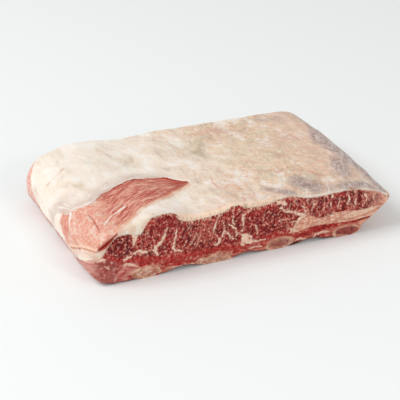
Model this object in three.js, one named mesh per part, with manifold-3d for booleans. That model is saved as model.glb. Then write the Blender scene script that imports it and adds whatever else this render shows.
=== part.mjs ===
// A slab of beef short ribs as the butcher cuts it: four flat rib bones lie at the bottom in a thin layer of
// rib muscle, a thick muscle lies on them, a seam of fat widens between the two towards the right end, and a
// fat cap covers the top and rolls down the sides. A long window trimmed in the cap bares the surface muscle,
// which wraps round the front left corner and ends at an open crack above the cut face.
//
// Millimetres. X runs across the ribs, Y along them, away from the viewer, and Z up. The slab rests on z = 0.
import * as THREE from 'three';
import { mergeVertices } from 'three/addons/utils/BufferGeometryUtils.js';
import Module from 'manifold-3d';

// Driving dimensions.
const LEFT_END = -149; // along X, in the frame that the stations below are given in
const RIGHT_END = 146.5;
const SLAB_WIDTH = 190;
const CUT_SKEW = { depth: 4, from: 20, to: 115 }; // the cut face stands further forward at its right end
const GAP = 0.4; // clearance between one layer and the next
const CAP_THICKNESS = { left: 7, right: 3, from: 0, to: 120 };
const MUSCLE_SHEET = 7; // thickness of the bared surface muscle
const LEAST_FAT = 2; // thinnest fat left between the surface muscle and the meat below it
// How far the meat between two bones rises off the table; from and to are distances from a bone's middle.
const ARCH = { height: 2.6, from: 15, to: 30 };

// The rounded left end: its radii above and below, the height of its widest point, and its blunt end face.
const LEFT_ROUND = { above: 25, belowAtCut: 24, belowBehind: 12, middle: 22, blunt: 0.22 };
// The right end tapers to a tip: the top rolls down to it and the underside slopes up to it.
const RIGHT_ROUND = { above: 24, middle: 30.5, blunt: 0.16 };
const UNDERCUT = { start: 105, end: 144, height: 28.5, bend: 1.15 };
// Radii of the slab's four upright corners, in plan.
const CORNERS = { frontLeft: 17, frontRight: 6, backLeft: 14, backRight: 22 };
// The roll of the fat over the cut edge, large at the left and small at the right, and the underside's edge.
const CUT_ROLL = { left: 8, right: 2, from: -100, to: 20 };
const BACK_ROLL = 7;
const BOTTOM_ROLL = 2;
const MOST_ROLL = 0.35; // of the slab's height, where it is thin

// Heights along the slab, as [x, z] stations joined by smooth curves.
const FRONT_CREST = [[-149, 50], [-122, 53], [-92, 60.5], [-68, 57.5], [-46, 50], [-14, 53.5], [18, 50.5],
  [40, 51.5], [62, 47.5], [92, 47.3], [118, 44], [132, 39.5], [146, 36]];
const MIDDLE_CREST = [[-149, 49], [-90, 53], [-40, 50], [30, 50], [146, 50]];
const BACK_CREST = [[-149, 41], [-116, 49.5], [-98, 53.5], [-53, 49], [-8, 50], [42, 48.5], [114, 47],
  [146, 45]];
const CUT_MUSCLE_TOP = [[-149, 20], [-136, 29], [-132, 36], [-125, 44.5], [-114, 46.5], [-101, 43.5],
  [-94.5, 53], [-89, 57], [-68, 55.8], [-60, 47.2], [-22, 48.5], [-14, 52.3], [-7, 51.5], [2, 47.5], [19, 47],
  [40, 50.5], [62, 45.8], [103, 46], [119, 42.4], [134, 37], [141, 31.5], [146, 29]];
const CUT_RIB_TOP = [[-149, 26], [-138, 29], [-122, 21], [-109, 18], [-92, 15.5], [-73, 12], [-30, 11],
  [6, 9], [17, 10.8], [31, 13.2], [46, 13], [64, 16.2], [81, 16], [100, 14.2], [121, 15.3], [146, 16]];
const SEAM_TOP = [[36, 7], [44, 13], [51, 22], [57, 29], [63, 28], [71, 24], [91, 26], [118, 23.7],
  [133, 27.5], [140, 31.5], [146, 36]];
const INNER_RIB_TOP = 12.5; // the rib layer's height at the left end, behind the cut face
const INNER_RIB_END = -120; // along X, where that height ends
const CUT_DEPTH = 50; // how far behind the cut face its left-end layers keep their shape

// Soft humps and hollows of the top: centre, reach and height.
const DENTS = [
  { x: 10, y: 34, reach: 20, height: -3 },
  { x: -28, y: 44, reach: 20, height: 1.6 },
  { x: -62, y: 30, reach: 22, height: -1.4 },
  { x: -104, y: 20, reach: 24, height: 1.5 },
  { x: 46, y: -10, reach: 30, height: 1.5 },
  { x: 104, y: 24, reach: 26, height: -1.6 },
  { x: 118, y: -40, reach: 22, height: 1.2 },
];

// Rib bones: flat ovals that run the whole width of the slab, with a slight sway along their length.
const BONES = [
  { x: -95, width: 30, height: 12.6, roll: 5, sway: 2 },
  { x: -30, width: 38, height: 9.8, roll: 2, sway: 1.5 },
  { x: 31, width: 30, height: 12, roll: -4, sway: -1.5 },
  { x: 98, width: 31, height: 12, roll: -3, sway: -2 },
];
const BONE_SINK = 0.9; // the oval's lowest part is flattened where the bone rests
const BONE_SQUARENESS = 0.8; // below 1 the oval fills out towards a rounded bar
const BONE_RECESS = 0.2; // how far the bone ends stay behind the meat

// Plan outline of the trimmed window, clockwise from the left wall. It leaves the slab at the front corner.
const WINDOW = [[-165, 2], [-149, 0], [-142, -22], [-126, -33], [-109, -21.5], [-80, -7], [-64, -5.5],
  [-46, -9], [-35, -19], [-29, -27], [-46, -38.5], [-64, -51], [-92, -69], [-105, -79], [-121, -88],
  [-127, -106], [-165, -114]];
const WINDOW_STEPS = 56;
// The lower edge of the surface muscle on the left wall: high at the cut face and low behind it.
const WALL_EDGE = { atCut: 35, behind: 14, from: -25, to: -88 };
const WALL_BLEND = { from: -143, to: -125 };
// The open crack between the surface muscle and the fat under it, drawn on the cut face.
const CRACK = { from: [-120, 51.5], to: [-139.5, 34.5], width: 2.4, widest: 0.6, depth: 9 };

// Grid cells along X, Y and Z, and how much finer they get towards the ends.
const SLAB_GRID = { cells: [44, 20, 5], finer: [0.6, 0.78] };
const LAYER_GRID = { cells: [56, 5, 1], finer: 0.35 };
const BONE_SIDES = 22;
const BONE_STEPS = 6;
const SPARE = 12; // how far a cutting shape reaches past the slab

const COLOURS = {
  fat: 0xe6d2ba,
  surface: 0xc97463,
  muscle: 0x84222b,
  seam: 0xdcb498,
  rib: 0x8f2f33,
  bone: 0xcda488,
};

const HALF_WIDTH = SLAB_WIDTH / 2;

const { clamp, lerp, smoothstep } = THREE.MathUtils;

const wasm = await Module();
wasm.setup();

// A smooth curve through [x, value] stations.
function curve(stations) {
  const last = stations.length - 1;
  const slope = (i) => {
    const [before, after] = [stations[Math.max(i - 1, 0)], stations[Math.min(i + 1, last)]];
    return (after[1] - before[1]) / (after[0] - before[0]);
  };
  return (x) => {
    if (x <= stations[0][0]) return stations[0][1];
    if (x >= stations[last][0]) return stations[last][1];
    const i = stations.findIndex(([end]) => x < end) - 1;
    const [[x0, v0], [x1, v1]] = [stations[i], stations[i + 1]];
    const span = x1 - x0;
    const t = (x - x0) / span;
    const rise = t * t * (3 - 2 * t);
    const bend = t * (1 - t) * ((1 - t) * slope(i) - t * slope(i + 1)) * span;
    return lerp(v0, v1, rise) + bend;
  };
}

// A quarter circle's height, from 0 at the rim to 1 where the rounding ends.
function quarter(t) {
  const rest = 1 - clamp(t, 0, 1);
  return Math.sqrt(1 - rest * rest);
}

// Grid steps made finer towards both ends.
function finerAtEnds(t, strength) {
  return t - (strength * Math.sin(2 * Math.PI * t)) / (2 * Math.PI);
}

const frontCrest = curve(FRONT_CREST);
const middleCrest = curve(MIDDLE_CREST);
const backCrest = curve(BACK_CREST);
const cutMuscleTop = curve(CUT_MUSCLE_TOP);
const cutRibTop = curve(CUT_RIB_TOP);
const seamTop = curve(SEAM_TOP);

// Height of the top before its ends are rounded.
function crest(x, y) {
  const [front, middle, back] = [frontCrest(x), middleCrest(x), backCrest(x)];
  const side = y / HALF_WIDTH;
  const soft = DENTS.reduce((sum, dent) => {
    const away = ((x - dent.x) ** 2 + (y - dent.y) ** 2) / dent.reach ** 2;
    return sum + dent.height * Math.exp(-away);
  }, 0);
  return middle + ((back - front) / 2) * side + ((back + front) / 2 - middle) * side ** 2 + soft;
}

function underside(x) {
  const nearest = Math.min(...BONES.map((bone) => Math.abs(x - bone.x)));
  const inside = x > BONES[0].x && x < BONES[3].x;
  const rise = inside ? ARCH.height * smoothstep(nearest, ARCH.from, ARCH.to) : 0;
  const slope = clamp((x - UNDERCUT.start) / (UNDERCUT.end - UNDERCUT.start), 0, 1);
  return rise + UNDERCUT.height * slope ** UNDERCUT.bend;
}

// An end's rounding, from its blunt end face to 1 where the slab is full.
function fullness(fromEnd, radius, blunt) {
  return Math.max(quarter(fromEnd / radius), blunt);
}

function top(x, y) {
  const left = fullness(x - LEFT_END, LEFT_ROUND.above, LEFT_ROUND.blunt);
  const right = fullness(RIGHT_END - x, RIGHT_ROUND.above, RIGHT_ROUND.blunt);
  return lerp(RIGHT_ROUND.middle, lerp(LEFT_ROUND.middle, crest(x, y), left), right);
}

function bottom(x, y) {
  const behind = smoothstep(y, -HALF_WIDTH, CUT_DEPTH - HALF_WIDTH);
  const radius = lerp(LEFT_ROUND.belowAtCut, LEFT_ROUND.belowBehind, behind);
  return lerp(LEFT_ROUND.middle, underside(x), fullness(x - LEFT_END, radius, LEFT_ROUND.blunt));
}

// How far a rounded upright corner pulls the slab's side in, at a distance along X from the slab's end.
function cornerPull(fromEnd, radius) {
  return radius * (1 - quarter(fromEnd / radius));
}

function frontEdge(x) {
  const left = cornerPull(x - LEFT_END, CORNERS.frontLeft);
  const right = cornerPull(RIGHT_END - x, CORNERS.frontRight);
  return CUT_SKEW.depth * (1 - smoothstep(x, CUT_SKEW.from, CUT_SKEW.to)) + left + right - HALF_WIDTH;
}

function backEdge(x) {
  const left = cornerPull(x - LEFT_END, CORNERS.backLeft);
  const right = cornerPull(RIGHT_END - x, CORNERS.backRight);
  return HALF_WIDTH - left - right;
}

// A box of grid cells, moved vertex by vertex; place is given the three box coordinates, each from 0 to 1.
function warpedBox([cellsX, cellsY, cellsZ], place) {
  const box = new THREE.BoxGeometry(1, 1, 1, cellsX, cellsY, cellsZ);
  return warped(box, ([x, y, z]) => place(x + 0.5, y + 0.5, z + 0.5));
}

function warped(geometry, place) {
  const closed = merged(geometry);
  const { position } = closed.attributes;
  for (let i = 0; i < position.count; i += 1) {
    position.setXYZ(i, ...place([position.getX(i), position.getY(i), position.getZ(i)]));
  }
  return closed;
}

function merged(geometry) {
  geometry.deleteAttribute('uv');
  geometry.deleteAttribute('normal');
  return mergeVertices(geometry, 1e-5);
}

function toSolid(geometry) {
  const vertProperties = new Float32Array(geometry.attributes.position.array);
  const triVerts = new Uint32Array(geometry.index.array);
  return new wasm.Manifold(new wasm.Mesh({ numProp: 3, vertProperties, triVerts }));
}

function toGeometry(solid) {
  const { vertProperties, triVerts } = solid.getMesh();
  const geometry = new THREE.BufferGeometry();
  geometry.setAttribute('position', new THREE.BufferAttribute(vertProperties, 3));
  geometry.setIndex(new THREE.BufferAttribute(triVerts, 1));
  return geometry;
}

// How far a rolled edge draws a face in, at a distance from the edge.
function drawnIn(roll, fromEdge) {
  return roll * (1 - quarter(fromEdge / roll));
}

// The whole slab, before it is parted into layers.
function slab() {
  return toSolid(warpedBox(SLAB_GRID.cells, (u, v, w) => {
    const x = lerp(LEFT_END, RIGHT_END, finerAtEnds(u, SLAB_GRID.finer[0]));
    const y = lerp(frontEdge(x), backEdge(x), finerAtEnds(v, SLAB_GRID.finer[1]));
    const [low, high] = [bottom(x, y), top(x, y)];
    const mostRoll = (high - low) * MOST_ROLL;
    const toRight = smoothstep(x, CUT_ROLL.from, CUT_ROLL.to);
    const cutRoll = Math.min(lerp(CUT_ROLL.left, CUT_ROLL.right, toRight), mostRoll);
    const backRoll = Math.min(BACK_ROLL, mostRoll);
    const bottomRoll = Math.min(BOTTOM_ROLL, mostRoll);
    const [fromFront, fromBack] = [y - frontEdge(x), backEdge(x) - y];
    const ceiling = high - drawnIn(cutRoll, fromFront) - drawnIn(backRoll, fromBack);
    const floor = low + drawnIn(bottomRoll, Math.min(fromFront, fromBack));
    return [x, y, lerp(floor, ceiling, w)];
  }));
}

// The surfaces that part the layers. Each lies on or above the one before.
function ribTop(x, y) {
  const cut = cutRibTop(x);
  const inner = lerp(INNER_RIB_TOP, cut, smoothstep(x, INNER_RIB_END, BONES[0].x));
  return lerp(cut, inner, smoothstep(y, -HALF_WIDTH, CUT_DEPTH - HALF_WIDTH));
}

function muscleBottom(x, y) {
  return Math.max(ribTop(x, y), seamTop(x));
}

function muscleTop(x, y) {
  const cut = cutMuscleTop(x);
  const { left, right, from, to } = CAP_THICKNESS;
  const cap = lerp(left, right, smoothstep(x, from, to));
  const wall = quarter((x - LEFT_END - left) / LEFT_ROUND.above);
  const inner = lerp(INNER_RIB_TOP, Math.min(crest(x, y), top(x, y)) - cap, wall);
  const behind = smoothstep(y, -HALF_WIDTH, CUT_DEPTH - HALF_WIDTH);
  return Math.max(lerp(cut, inner, behind), muscleBottom(x, y));
}

// The underside of the surface muscle: a sheet under the top, running down to an edge on the left wall.
function windowFloor(x, y) {
  const edge = lerp(WALL_EDGE.atCut, WALL_EDGE.behind, smoothstep(y, WALL_EDGE.to, WALL_EDGE.from));
  const sheet = top(x, y) - MUSCLE_SHEET;
  const floor = lerp(edge, sheet, smoothstep(x, WALL_BLEND.from, WALL_BLEND.to));
  return Math.max(floor, muscleTop(x, y) + LEAST_FAT);
}

// Everything under a surface that is lifted or lowered by a distance, with room to spare all round the slab.
function under(surface, lift) {
  return toSolid(warpedBox(LAYER_GRID.cells, (u, v, w) => {
    const x = lerp(LEFT_END - SPARE, RIGHT_END + SPARE, finerAtEnds(u, LAYER_GRID.finer));
    const y = lerp(-HALF_WIDTH - SPARE, HALF_WIDTH + SPARE, v);
    return [x, y, w === 1 ? surface(x, y) + lift : -SPARE];
  }));
}

// The window's outline as an upright prism, its sides moved outwards by a distance.
function windowPrism(outwards) {
  const corners = WINDOW.map(([x, y]) => new THREE.Vector2(x, y));
  const points = new THREE.SplineCurve(corners).getSpacedPoints(WINDOW_STEPS);
  const moved = points.map((point, i) => {
    const along = points[Math.min(i + 1, WINDOW_STEPS)].clone().sub(points[Math.max(i - 1, 0)]).normalize();
    return point.clone().add(new THREE.Vector2(-along.y, along.x).multiplyScalar(outwards));
  });
  const height = RIGHT_END - LEFT_END; // anything taller than the slab
  const prism = new THREE.ExtrudeGeometry(new THREE.Shape(moved), { depth: height, bevelEnabled: false });
  return toSolid(merged(prism));
}

// The crack is a slot with a lens-shaped outline, cut in from the front.
function crackSlot() {
  const from = new THREE.Vector2(...CRACK.from);
  const to = new THREE.Vector2(...CRACK.to);
  const across = to.clone().sub(from).normalize().rotateAround(new THREE.Vector2(), Math.PI / 2);
  const middle = from.clone().lerp(to, CRACK.widest);
  const outline = new THREE.Shape();
  outline.moveTo(from.x, from.y);
  outline.quadraticCurveTo(...middle.clone().addScaledVector(across, CRACK.width).toArray(), to.x, to.y);
  outline.quadraticCurveTo(...middle.clone().addScaledVector(across, -CRACK.width).toArray(), from.x, from.y);
  const depth = CRACK.depth + SPARE;
  const slot = new THREE.ExtrudeGeometry(outline, { depth, bevelEnabled: false, curveSegments: 6 });
  slot.rotateX(Math.PI / 2);
  slot.translate(0, CRACK.depth - HALF_WIDTH, 0);
  return toSolid(merged(slot));
}

// One rib bone about its own centre line. Swollen by the gap, it makes its channel in the meat.
function bone({ x: centre, width, height, roll, sway }, swell) {
  const inset = swell > 0 ? -SPARE : BONE_RECESS;
  const [front, back] = [frontEdge(centre) + inset, backEdge(centre) - inset];
  const rod = new THREE.CylinderGeometry(1, 1, 1, BONE_SIDES, BONE_STEPS);
  const tilt = THREE.MathUtils.degToRad(roll);
  const fill = (value) => Math.sign(value) * Math.abs(value) ** BONE_SQUARENESS;
  return toSolid(warped(rod, ([across, along, up]) => {
    const radius = Math.hypot(across, up);
    const wide = fill(across) * (width / 2 + swell * radius);
    const high = fill(up) * (height / 2 + swell * radius);
    const x = wide * Math.cos(tilt) + high * Math.sin(tilt) + sway * Math.sin(along * 4);
    const z = high * Math.cos(tilt) - wide * Math.sin(tilt);
    const floor = BONE_SINK - height / 2;
    return [x, lerp(front, back, along + 0.5), swell > 0 ? z : Math.max(z, floor)];
  }));
}

const boneCentre = ({ x, height }) => [x, 0, height / 2 - BONE_SINK];

function mesh(name, solid, colour, roughness) {
  const material = new THREE.MeshStandardMaterial({ color: colour, roughness, metalness: 0 });
  const made = new THREE.Mesh(toGeometry(solid), material);
  made.name = name;
  return made;
}

const half = GAP / 2;
const whole = slab();
const crack = crackSlot();
const channels = BONES.map((spec) => bone(spec, GAP).translate(boneCentre(spec)));

const windowRoom = windowPrism(GAP).subtract(under(windowFloor, -half));
const fatCap = whole.subtract(under(muscleTop, half)).subtract(windowRoom).subtract(crack);
const surfaceMuscle = whole.intersect(windowPrism(0)).subtract(under(windowFloor, half)).subtract(crack);
const mainMuscle = whole.intersect(under(muscleTop, -half)).subtract(under(muscleBottom, half));
const seamFat = whole.intersect(under(muscleBottom, -half)).subtract(under(ribTop, half));
const ribLayer = whole.intersect(under(ribTop, -half));
const ribMuscle = channels.reduce((meat, channel) => meat.subtract(channel), ribLayer);

const slabParts = new THREE.Group();
slabParts.add(mesh('fat_cap', fatCap, COLOURS.fat, 0.45));
slabParts.add(mesh('surface_muscle', surfaceMuscle, COLOURS.surface, 0.4));
slabParts.add(mesh('main_muscle', mainMuscle, COLOURS.muscle, 0.4));
slabParts.add(mesh('seam_fat', seamFat, COLOURS.seam, 0.45));
slabParts.add(mesh('rib_muscle', ribMuscle, COLOURS.rib, 0.4));
BONES.forEach((spec, i) => {
  const rib = mesh(`rib_bone_${i + 1}`, bone(spec, 0), COLOURS.bone, 0.6);
  rib.position.set(...boneCentre(spec));
  slabParts.add(rib);
});

// The origin is under the middle of the slab.
slabParts.position.x = -(LEFT_END + RIGHT_END) / 2;
const shortRibs = new THREE.Group();
shortRibs.add(slabParts);

export default shortRibs;
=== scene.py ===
"""A slab of beef short ribs in a plain studio.

Each finished piece stands for one solid of the frame: the fat cap, the surface muscle bared in its window,
the main muscle, the seam fat, the rib meat and the rib bones. One finely divided slab gets all of the relief
and is then cut into its layers, so that neighbours meet without a step.

Shapes are worked out in millimetres in the slab's own layout: x across the ribs, y along them and away from
the viewer, z up. The last step of each piece moves it into the frame, in metres.
"""

import functools
import math

import bmesh
import bpy
import numpy as np
from bpy.props import FloatProperty, FloatVectorProperty, PointerProperty
from mathutils import Matrix, Vector, noise


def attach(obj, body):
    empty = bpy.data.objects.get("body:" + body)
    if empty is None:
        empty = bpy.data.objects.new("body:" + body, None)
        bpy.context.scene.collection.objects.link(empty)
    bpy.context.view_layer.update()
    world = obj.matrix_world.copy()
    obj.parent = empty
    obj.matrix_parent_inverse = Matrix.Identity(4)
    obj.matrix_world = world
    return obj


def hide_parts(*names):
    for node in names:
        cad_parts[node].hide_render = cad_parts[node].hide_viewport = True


bl_info = {
    "name": "Beef Short Rib Slab",
    "version": (1, 0, 0),
    "blender": (4, 5, 0),
    "location": "3D View > Sidebar > Short Ribs",
    "description": "Builds a slab of beef short ribs, layer by layer, and a plain studio around it",
    "category": "Add Mesh",
}

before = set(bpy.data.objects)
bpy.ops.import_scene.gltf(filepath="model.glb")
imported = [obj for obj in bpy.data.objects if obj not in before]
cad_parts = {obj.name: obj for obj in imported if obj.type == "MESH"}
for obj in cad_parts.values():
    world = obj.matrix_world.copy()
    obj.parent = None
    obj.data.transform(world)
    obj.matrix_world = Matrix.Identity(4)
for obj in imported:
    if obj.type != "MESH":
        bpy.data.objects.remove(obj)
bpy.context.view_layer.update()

# ---------------------------------------------------------------------------------------------------------
# Driving sizes of the slab, in millimetres. Stations are (x, height) pairs joined by smooth curves.

LEFT_END = -149
RIGHT_END = 146.5
SLAB_WIDTH = 190
HALF_WIDTH = SLAB_WIDTH / 2
TO_FRAME = Matrix.Scale(0.001, 4) @ Matrix.Translation((-(LEFT_END + RIGHT_END) / 2, 0, 0))

CUT_SKEW = {"depth": 4, "start": 20, "end": 115}
CAP_THICKNESS = {"left": 7, "right": 3, "start": 0, "end": 120}
MUSCLE_SHEET = 7
LEAST_FAT = 2
ARCH = {"height": 2.6, "start": 15, "end": 30}
LEFT_ROUND = {"above": 25, "below_at_cut": 24, "below_behind": 12, "middle": 22, "blunt": 0.22}
RIGHT_ROUND = {"above": 24, "middle": 30.5, "blunt": 0.16}
UNDERCUT = {"start": 105, "end": 144, "height": 28.5, "bend": 1.15}
CORNERS = {"front_left": 17, "front_right": 6, "back_left": 14, "back_right": 22}
CUT_ROLL = {"left": 8, "right": 2, "start": -100, "end": 20}
BACK_ROLL = 7
BOTTOM_ROLL = 2
MOST_ROLL = 0.35  # of the slab's height

FRONT_CREST = [(-149, 50), (-122, 53), (-92, 60.5), (-68, 57.5), (-46, 50), (-14, 53.5), (18, 50.5),
               (40, 51.5), (62, 47.5), (92, 47.3), (118, 44), (132, 39.5), (146, 36)]
MIDDLE_CREST = [(-149, 49), (-90, 53), (-40, 50), (30, 50), (146, 50)]
BACK_CREST = [(-149, 41), (-116, 49.5), (-98, 53.5), (-53, 49), (-8, 50), (42, 48.5), (114, 47), (146, 45)]
CUT_MUSCLE_TOP = [(-149, 20), (-136, 29), (-132, 36), (-125, 44.5), (-114, 46.5), (-101, 43.5), (-94.5, 53),
                  (-89, 57), (-68, 55.8), (-60, 47.2), (-22, 48.5), (-14, 52.3), (-7, 51.5), (2, 47.5),
                  (19, 47), (40, 50.5), (62, 45.8), (103, 46), (119, 42.4), (134, 37), (141, 31.5), (146, 29)]
CUT_RIB_TOP = [(-149, 26), (-138, 29), (-122, 21), (-109, 18), (-92, 15.5), (-73, 12), (-30, 11), (6, 9),
               (17, 10.8), (31, 13.2), (46, 13), (64, 16.2), (81, 16), (100, 14.2), (121, 15.3), (146, 16)]
SEAM_TOP = [(36, 7), (44, 13), (51, 22), (57, 29), (63, 28), (71, 24), (91, 26), (118, 23.7), (133, 27.5),
            (140, 31.5), (146, 36)]
INNER_RIB_TOP = 12.5
INNER_RIB_END = -120
CUT_DEPTH = 50

# Soft humps and hollows of the top: x, y, reach and height.
DENTS = [(10, 34, 20, -3), (-28, 44, 20, 1.6), (-62, 30, 22, -1.4), (-104, 20, 24, 1.5), (46, -10, 30, 1.5),
         (104, 24, 26, -1.6), (118, -40, 22, 1.2)]

# Rib bones: x, width, height, roll in degrees and sway.
BONES = [(-95, 30, 12.6, 5, 2), (-30, 38, 9.8, 2, 1.5), (31, 30, 12, -4, -1.5), (98, 31, 12, -3, -2)]
BONE_MARROW = (0.15, 0.3, 0.8, 1.0)  # how red and spongy each sawn end is
BONE_SINK = 0.9
BONE_SQUARENESS = 0.92
BONE_RECESS = 0.2
BONE_UNEVEN = 1.1
BONE_SWAY = 4  # radians of the sine wave that a swaying bone follows to the back
BONE_SHELL = (0.12, 0.3)  # where the hard shell ends, as shares of the bone's radius from its side
BONE_FACE = (-1.6, -1.0)  # how far behind the sawn face the bone's side begins

# The trimmed window in plan, clockwise from the left wall.
WINDOW = [(-165, 2), (-149, 0), (-142, -22), (-126, -33), (-109, -21.5), (-80, -7), (-64, -5.5), (-46, -9),
          (-35, -19), (-29, -27), (-46, -38.5), (-64, -51), (-92, -69), (-105, -79), (-121, -88),
          (-127, -106), (-165, -114)]
WINDOW_TIP = 9  # the window point at the pointed right end; the upper edge comes before it
WINDOW_RUN = (0.8, 0.6)  # which way the bared muscle's fibres run in plan
WINDOW_WIDTH = 40
WALL_EDGE = {"at_cut": 35, "behind": 14, "back": -25, "front": -88}
WALL_BLEND = {"start": -143, "end": -125}
WINDOW_DEPTH = 1.0
WINDOW_SLOPE = (-0.6, 2.2)  # from where to where inside its outline it sinks in
WINDOW_STEPS = 90  # points of its outline that distances are measured to
STRIP_FADES = 4
LEFT_WALL = {"trimmed": 8, "bared": 12, "strip": 16, "cap": 20}  # how far right each of its marks reaches

# The open crack on the cut face, from its upper to its lower end; its inner width is a share of the outer.
CRACK = {"from": (-121, 49.5), "to": (-140, 35.5), "width": 4.8, "least": 0.04, "inner": 0.45, "skew": 1.6,
         "depth": 3, "fades": 3}
CRACK_BORDERS = {"sides": (-0.9, -0.2), "ends": (0, 0.05), "top": (0.6, 2.0), "mouth": (-2.2, -0.8)}

# Room and gaps for the cuts, and the limits of the finished surface.
SPARE = 12
CLEARANCE = 0.02
BONE_CLEARANCE = 0.05
MOST_HEIGHT = 59.1
MOST_PROUD = 0.7
DEEPEST = -3
SET_BACK = 0.4  # how far the whole surface is drawn in, to leave room for its relief

# Numbers that the maps hold away from the marks they describe.
FAR = 99.0
OFF_WALL = 9
NEAR_CUT = 6  # how far behind the cut face the veins are followed

# Columns of a point that count on the cut face and on the left wall.
FACE = [0, 2]
WALL = [1, 2]

# Which share of a normal counts as facing forwards, up or down, from not at all to fully.
FACING = {"cut": (0.55, 0.85), "up": (0.0, 0.5), "down": (0.5, 0.9)}

# Textures of fractal noise: height, size of the widest bumps along x, y and z, octaves and seed.
TEXTURES = {
    "body": (0.75, 28, 2, 0),
    "lumps": (0.26, (11, 18, 10), 3, 1),
    "fine": (0.08, (3, 5, 3), 2, 2),
    "crack": (0.35, 4, 2, 3),
    "fibres": (0.22, (16, 1.6, 1), 3, 4),
    "layer_edge": (0.45, (5, 12, 1), 3, 5),
    "cut_grain": (0.22, (1.6, 9, 4.5), 3, 6),
    "underside": (0.5, (7, 40, 7), 3, 7),
    "bone": (BONE_UNEVEN, (9, 45, 7), 3, 8),
    "window_edge": (0.6, (6, 6, 1), 3, 9),
    "sawn_end": (0.35, (1.6, 9, 1.6), 3, 0),
    "veins": (1.1, (3.2, 9, 3.2), 3, 40),
    "strip": (0.8, 5, 3, 50),
    "rib_lines": (1.0, (4, 12, 3), 3, 60),
}
SEED_STEP = 31.7
CUT_GRAIN_LEAN = np.array([[0.42, 0, 0.9], [0, 1, 0], [-0.9, 0, 0.42]])  # a turn of 65 degrees about y

# Ridges and grooves along marks: height, width and how far beside the mark they run.
RIDGES = {
    "crease": (-0.9, 1.3, 0),
    "tear": (0.7, 1.2, 0),
    "beside_tear": (-0.5, 1.2, 2.4),
    "window_rim": (0.5, 1.8, 1.6),
    "scratch": (-0.7, 1.0, 0),
    "white_crease": (0.5, 1.4, 0),
    "under_cap": (-0.7, 0.9, 0),
    "over_ribs": (-0.5, 0.8, 0),
    "round_lobe": (-0.5, 0.9, 0),
}
BULGE = {"height": 0.7, "sunk": 0.3, "reach": 4.5}  # of the meat between its fat veins

# Grid cells along x, y and z, and how much finer they get towards the ends.
SLAB_CELLS = (400, 150, 64)
SLAB_FINER = (0.25, 0.45)
LAYER_CELLS = (300, 36, 1)
LAYER_FINER = (0.2, 0.5)
WINDOW_SIDES = 240
WINDOW_HEIGHT = 110
CRACK_CELLS = (34, 14, 6)
BONE_CELLS = (34, 110, 14)
BONE_FINER = 0.6
SHARP = math.radians(50)  # the least angle of an edge that is shaded sharp

# The studio, in metres: the floor and its speckle's colour, the aimed point, and the sensor's width in mm.
FLOOR = {"reach": 4, "cells": 8, "speck": (0.78, 0.8, 0.79)}
AIM = (-0.00315, 0.002, 0.013)
SENSOR = 36

# ---------------------------------------------------------------------------------------------------------
# Marks on the slab. Lines on the cut face are (x, height, half width), marks on the top (x, y, half width),
# and the pale edge of the red strip on the left wall (y, height, half width).

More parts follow.
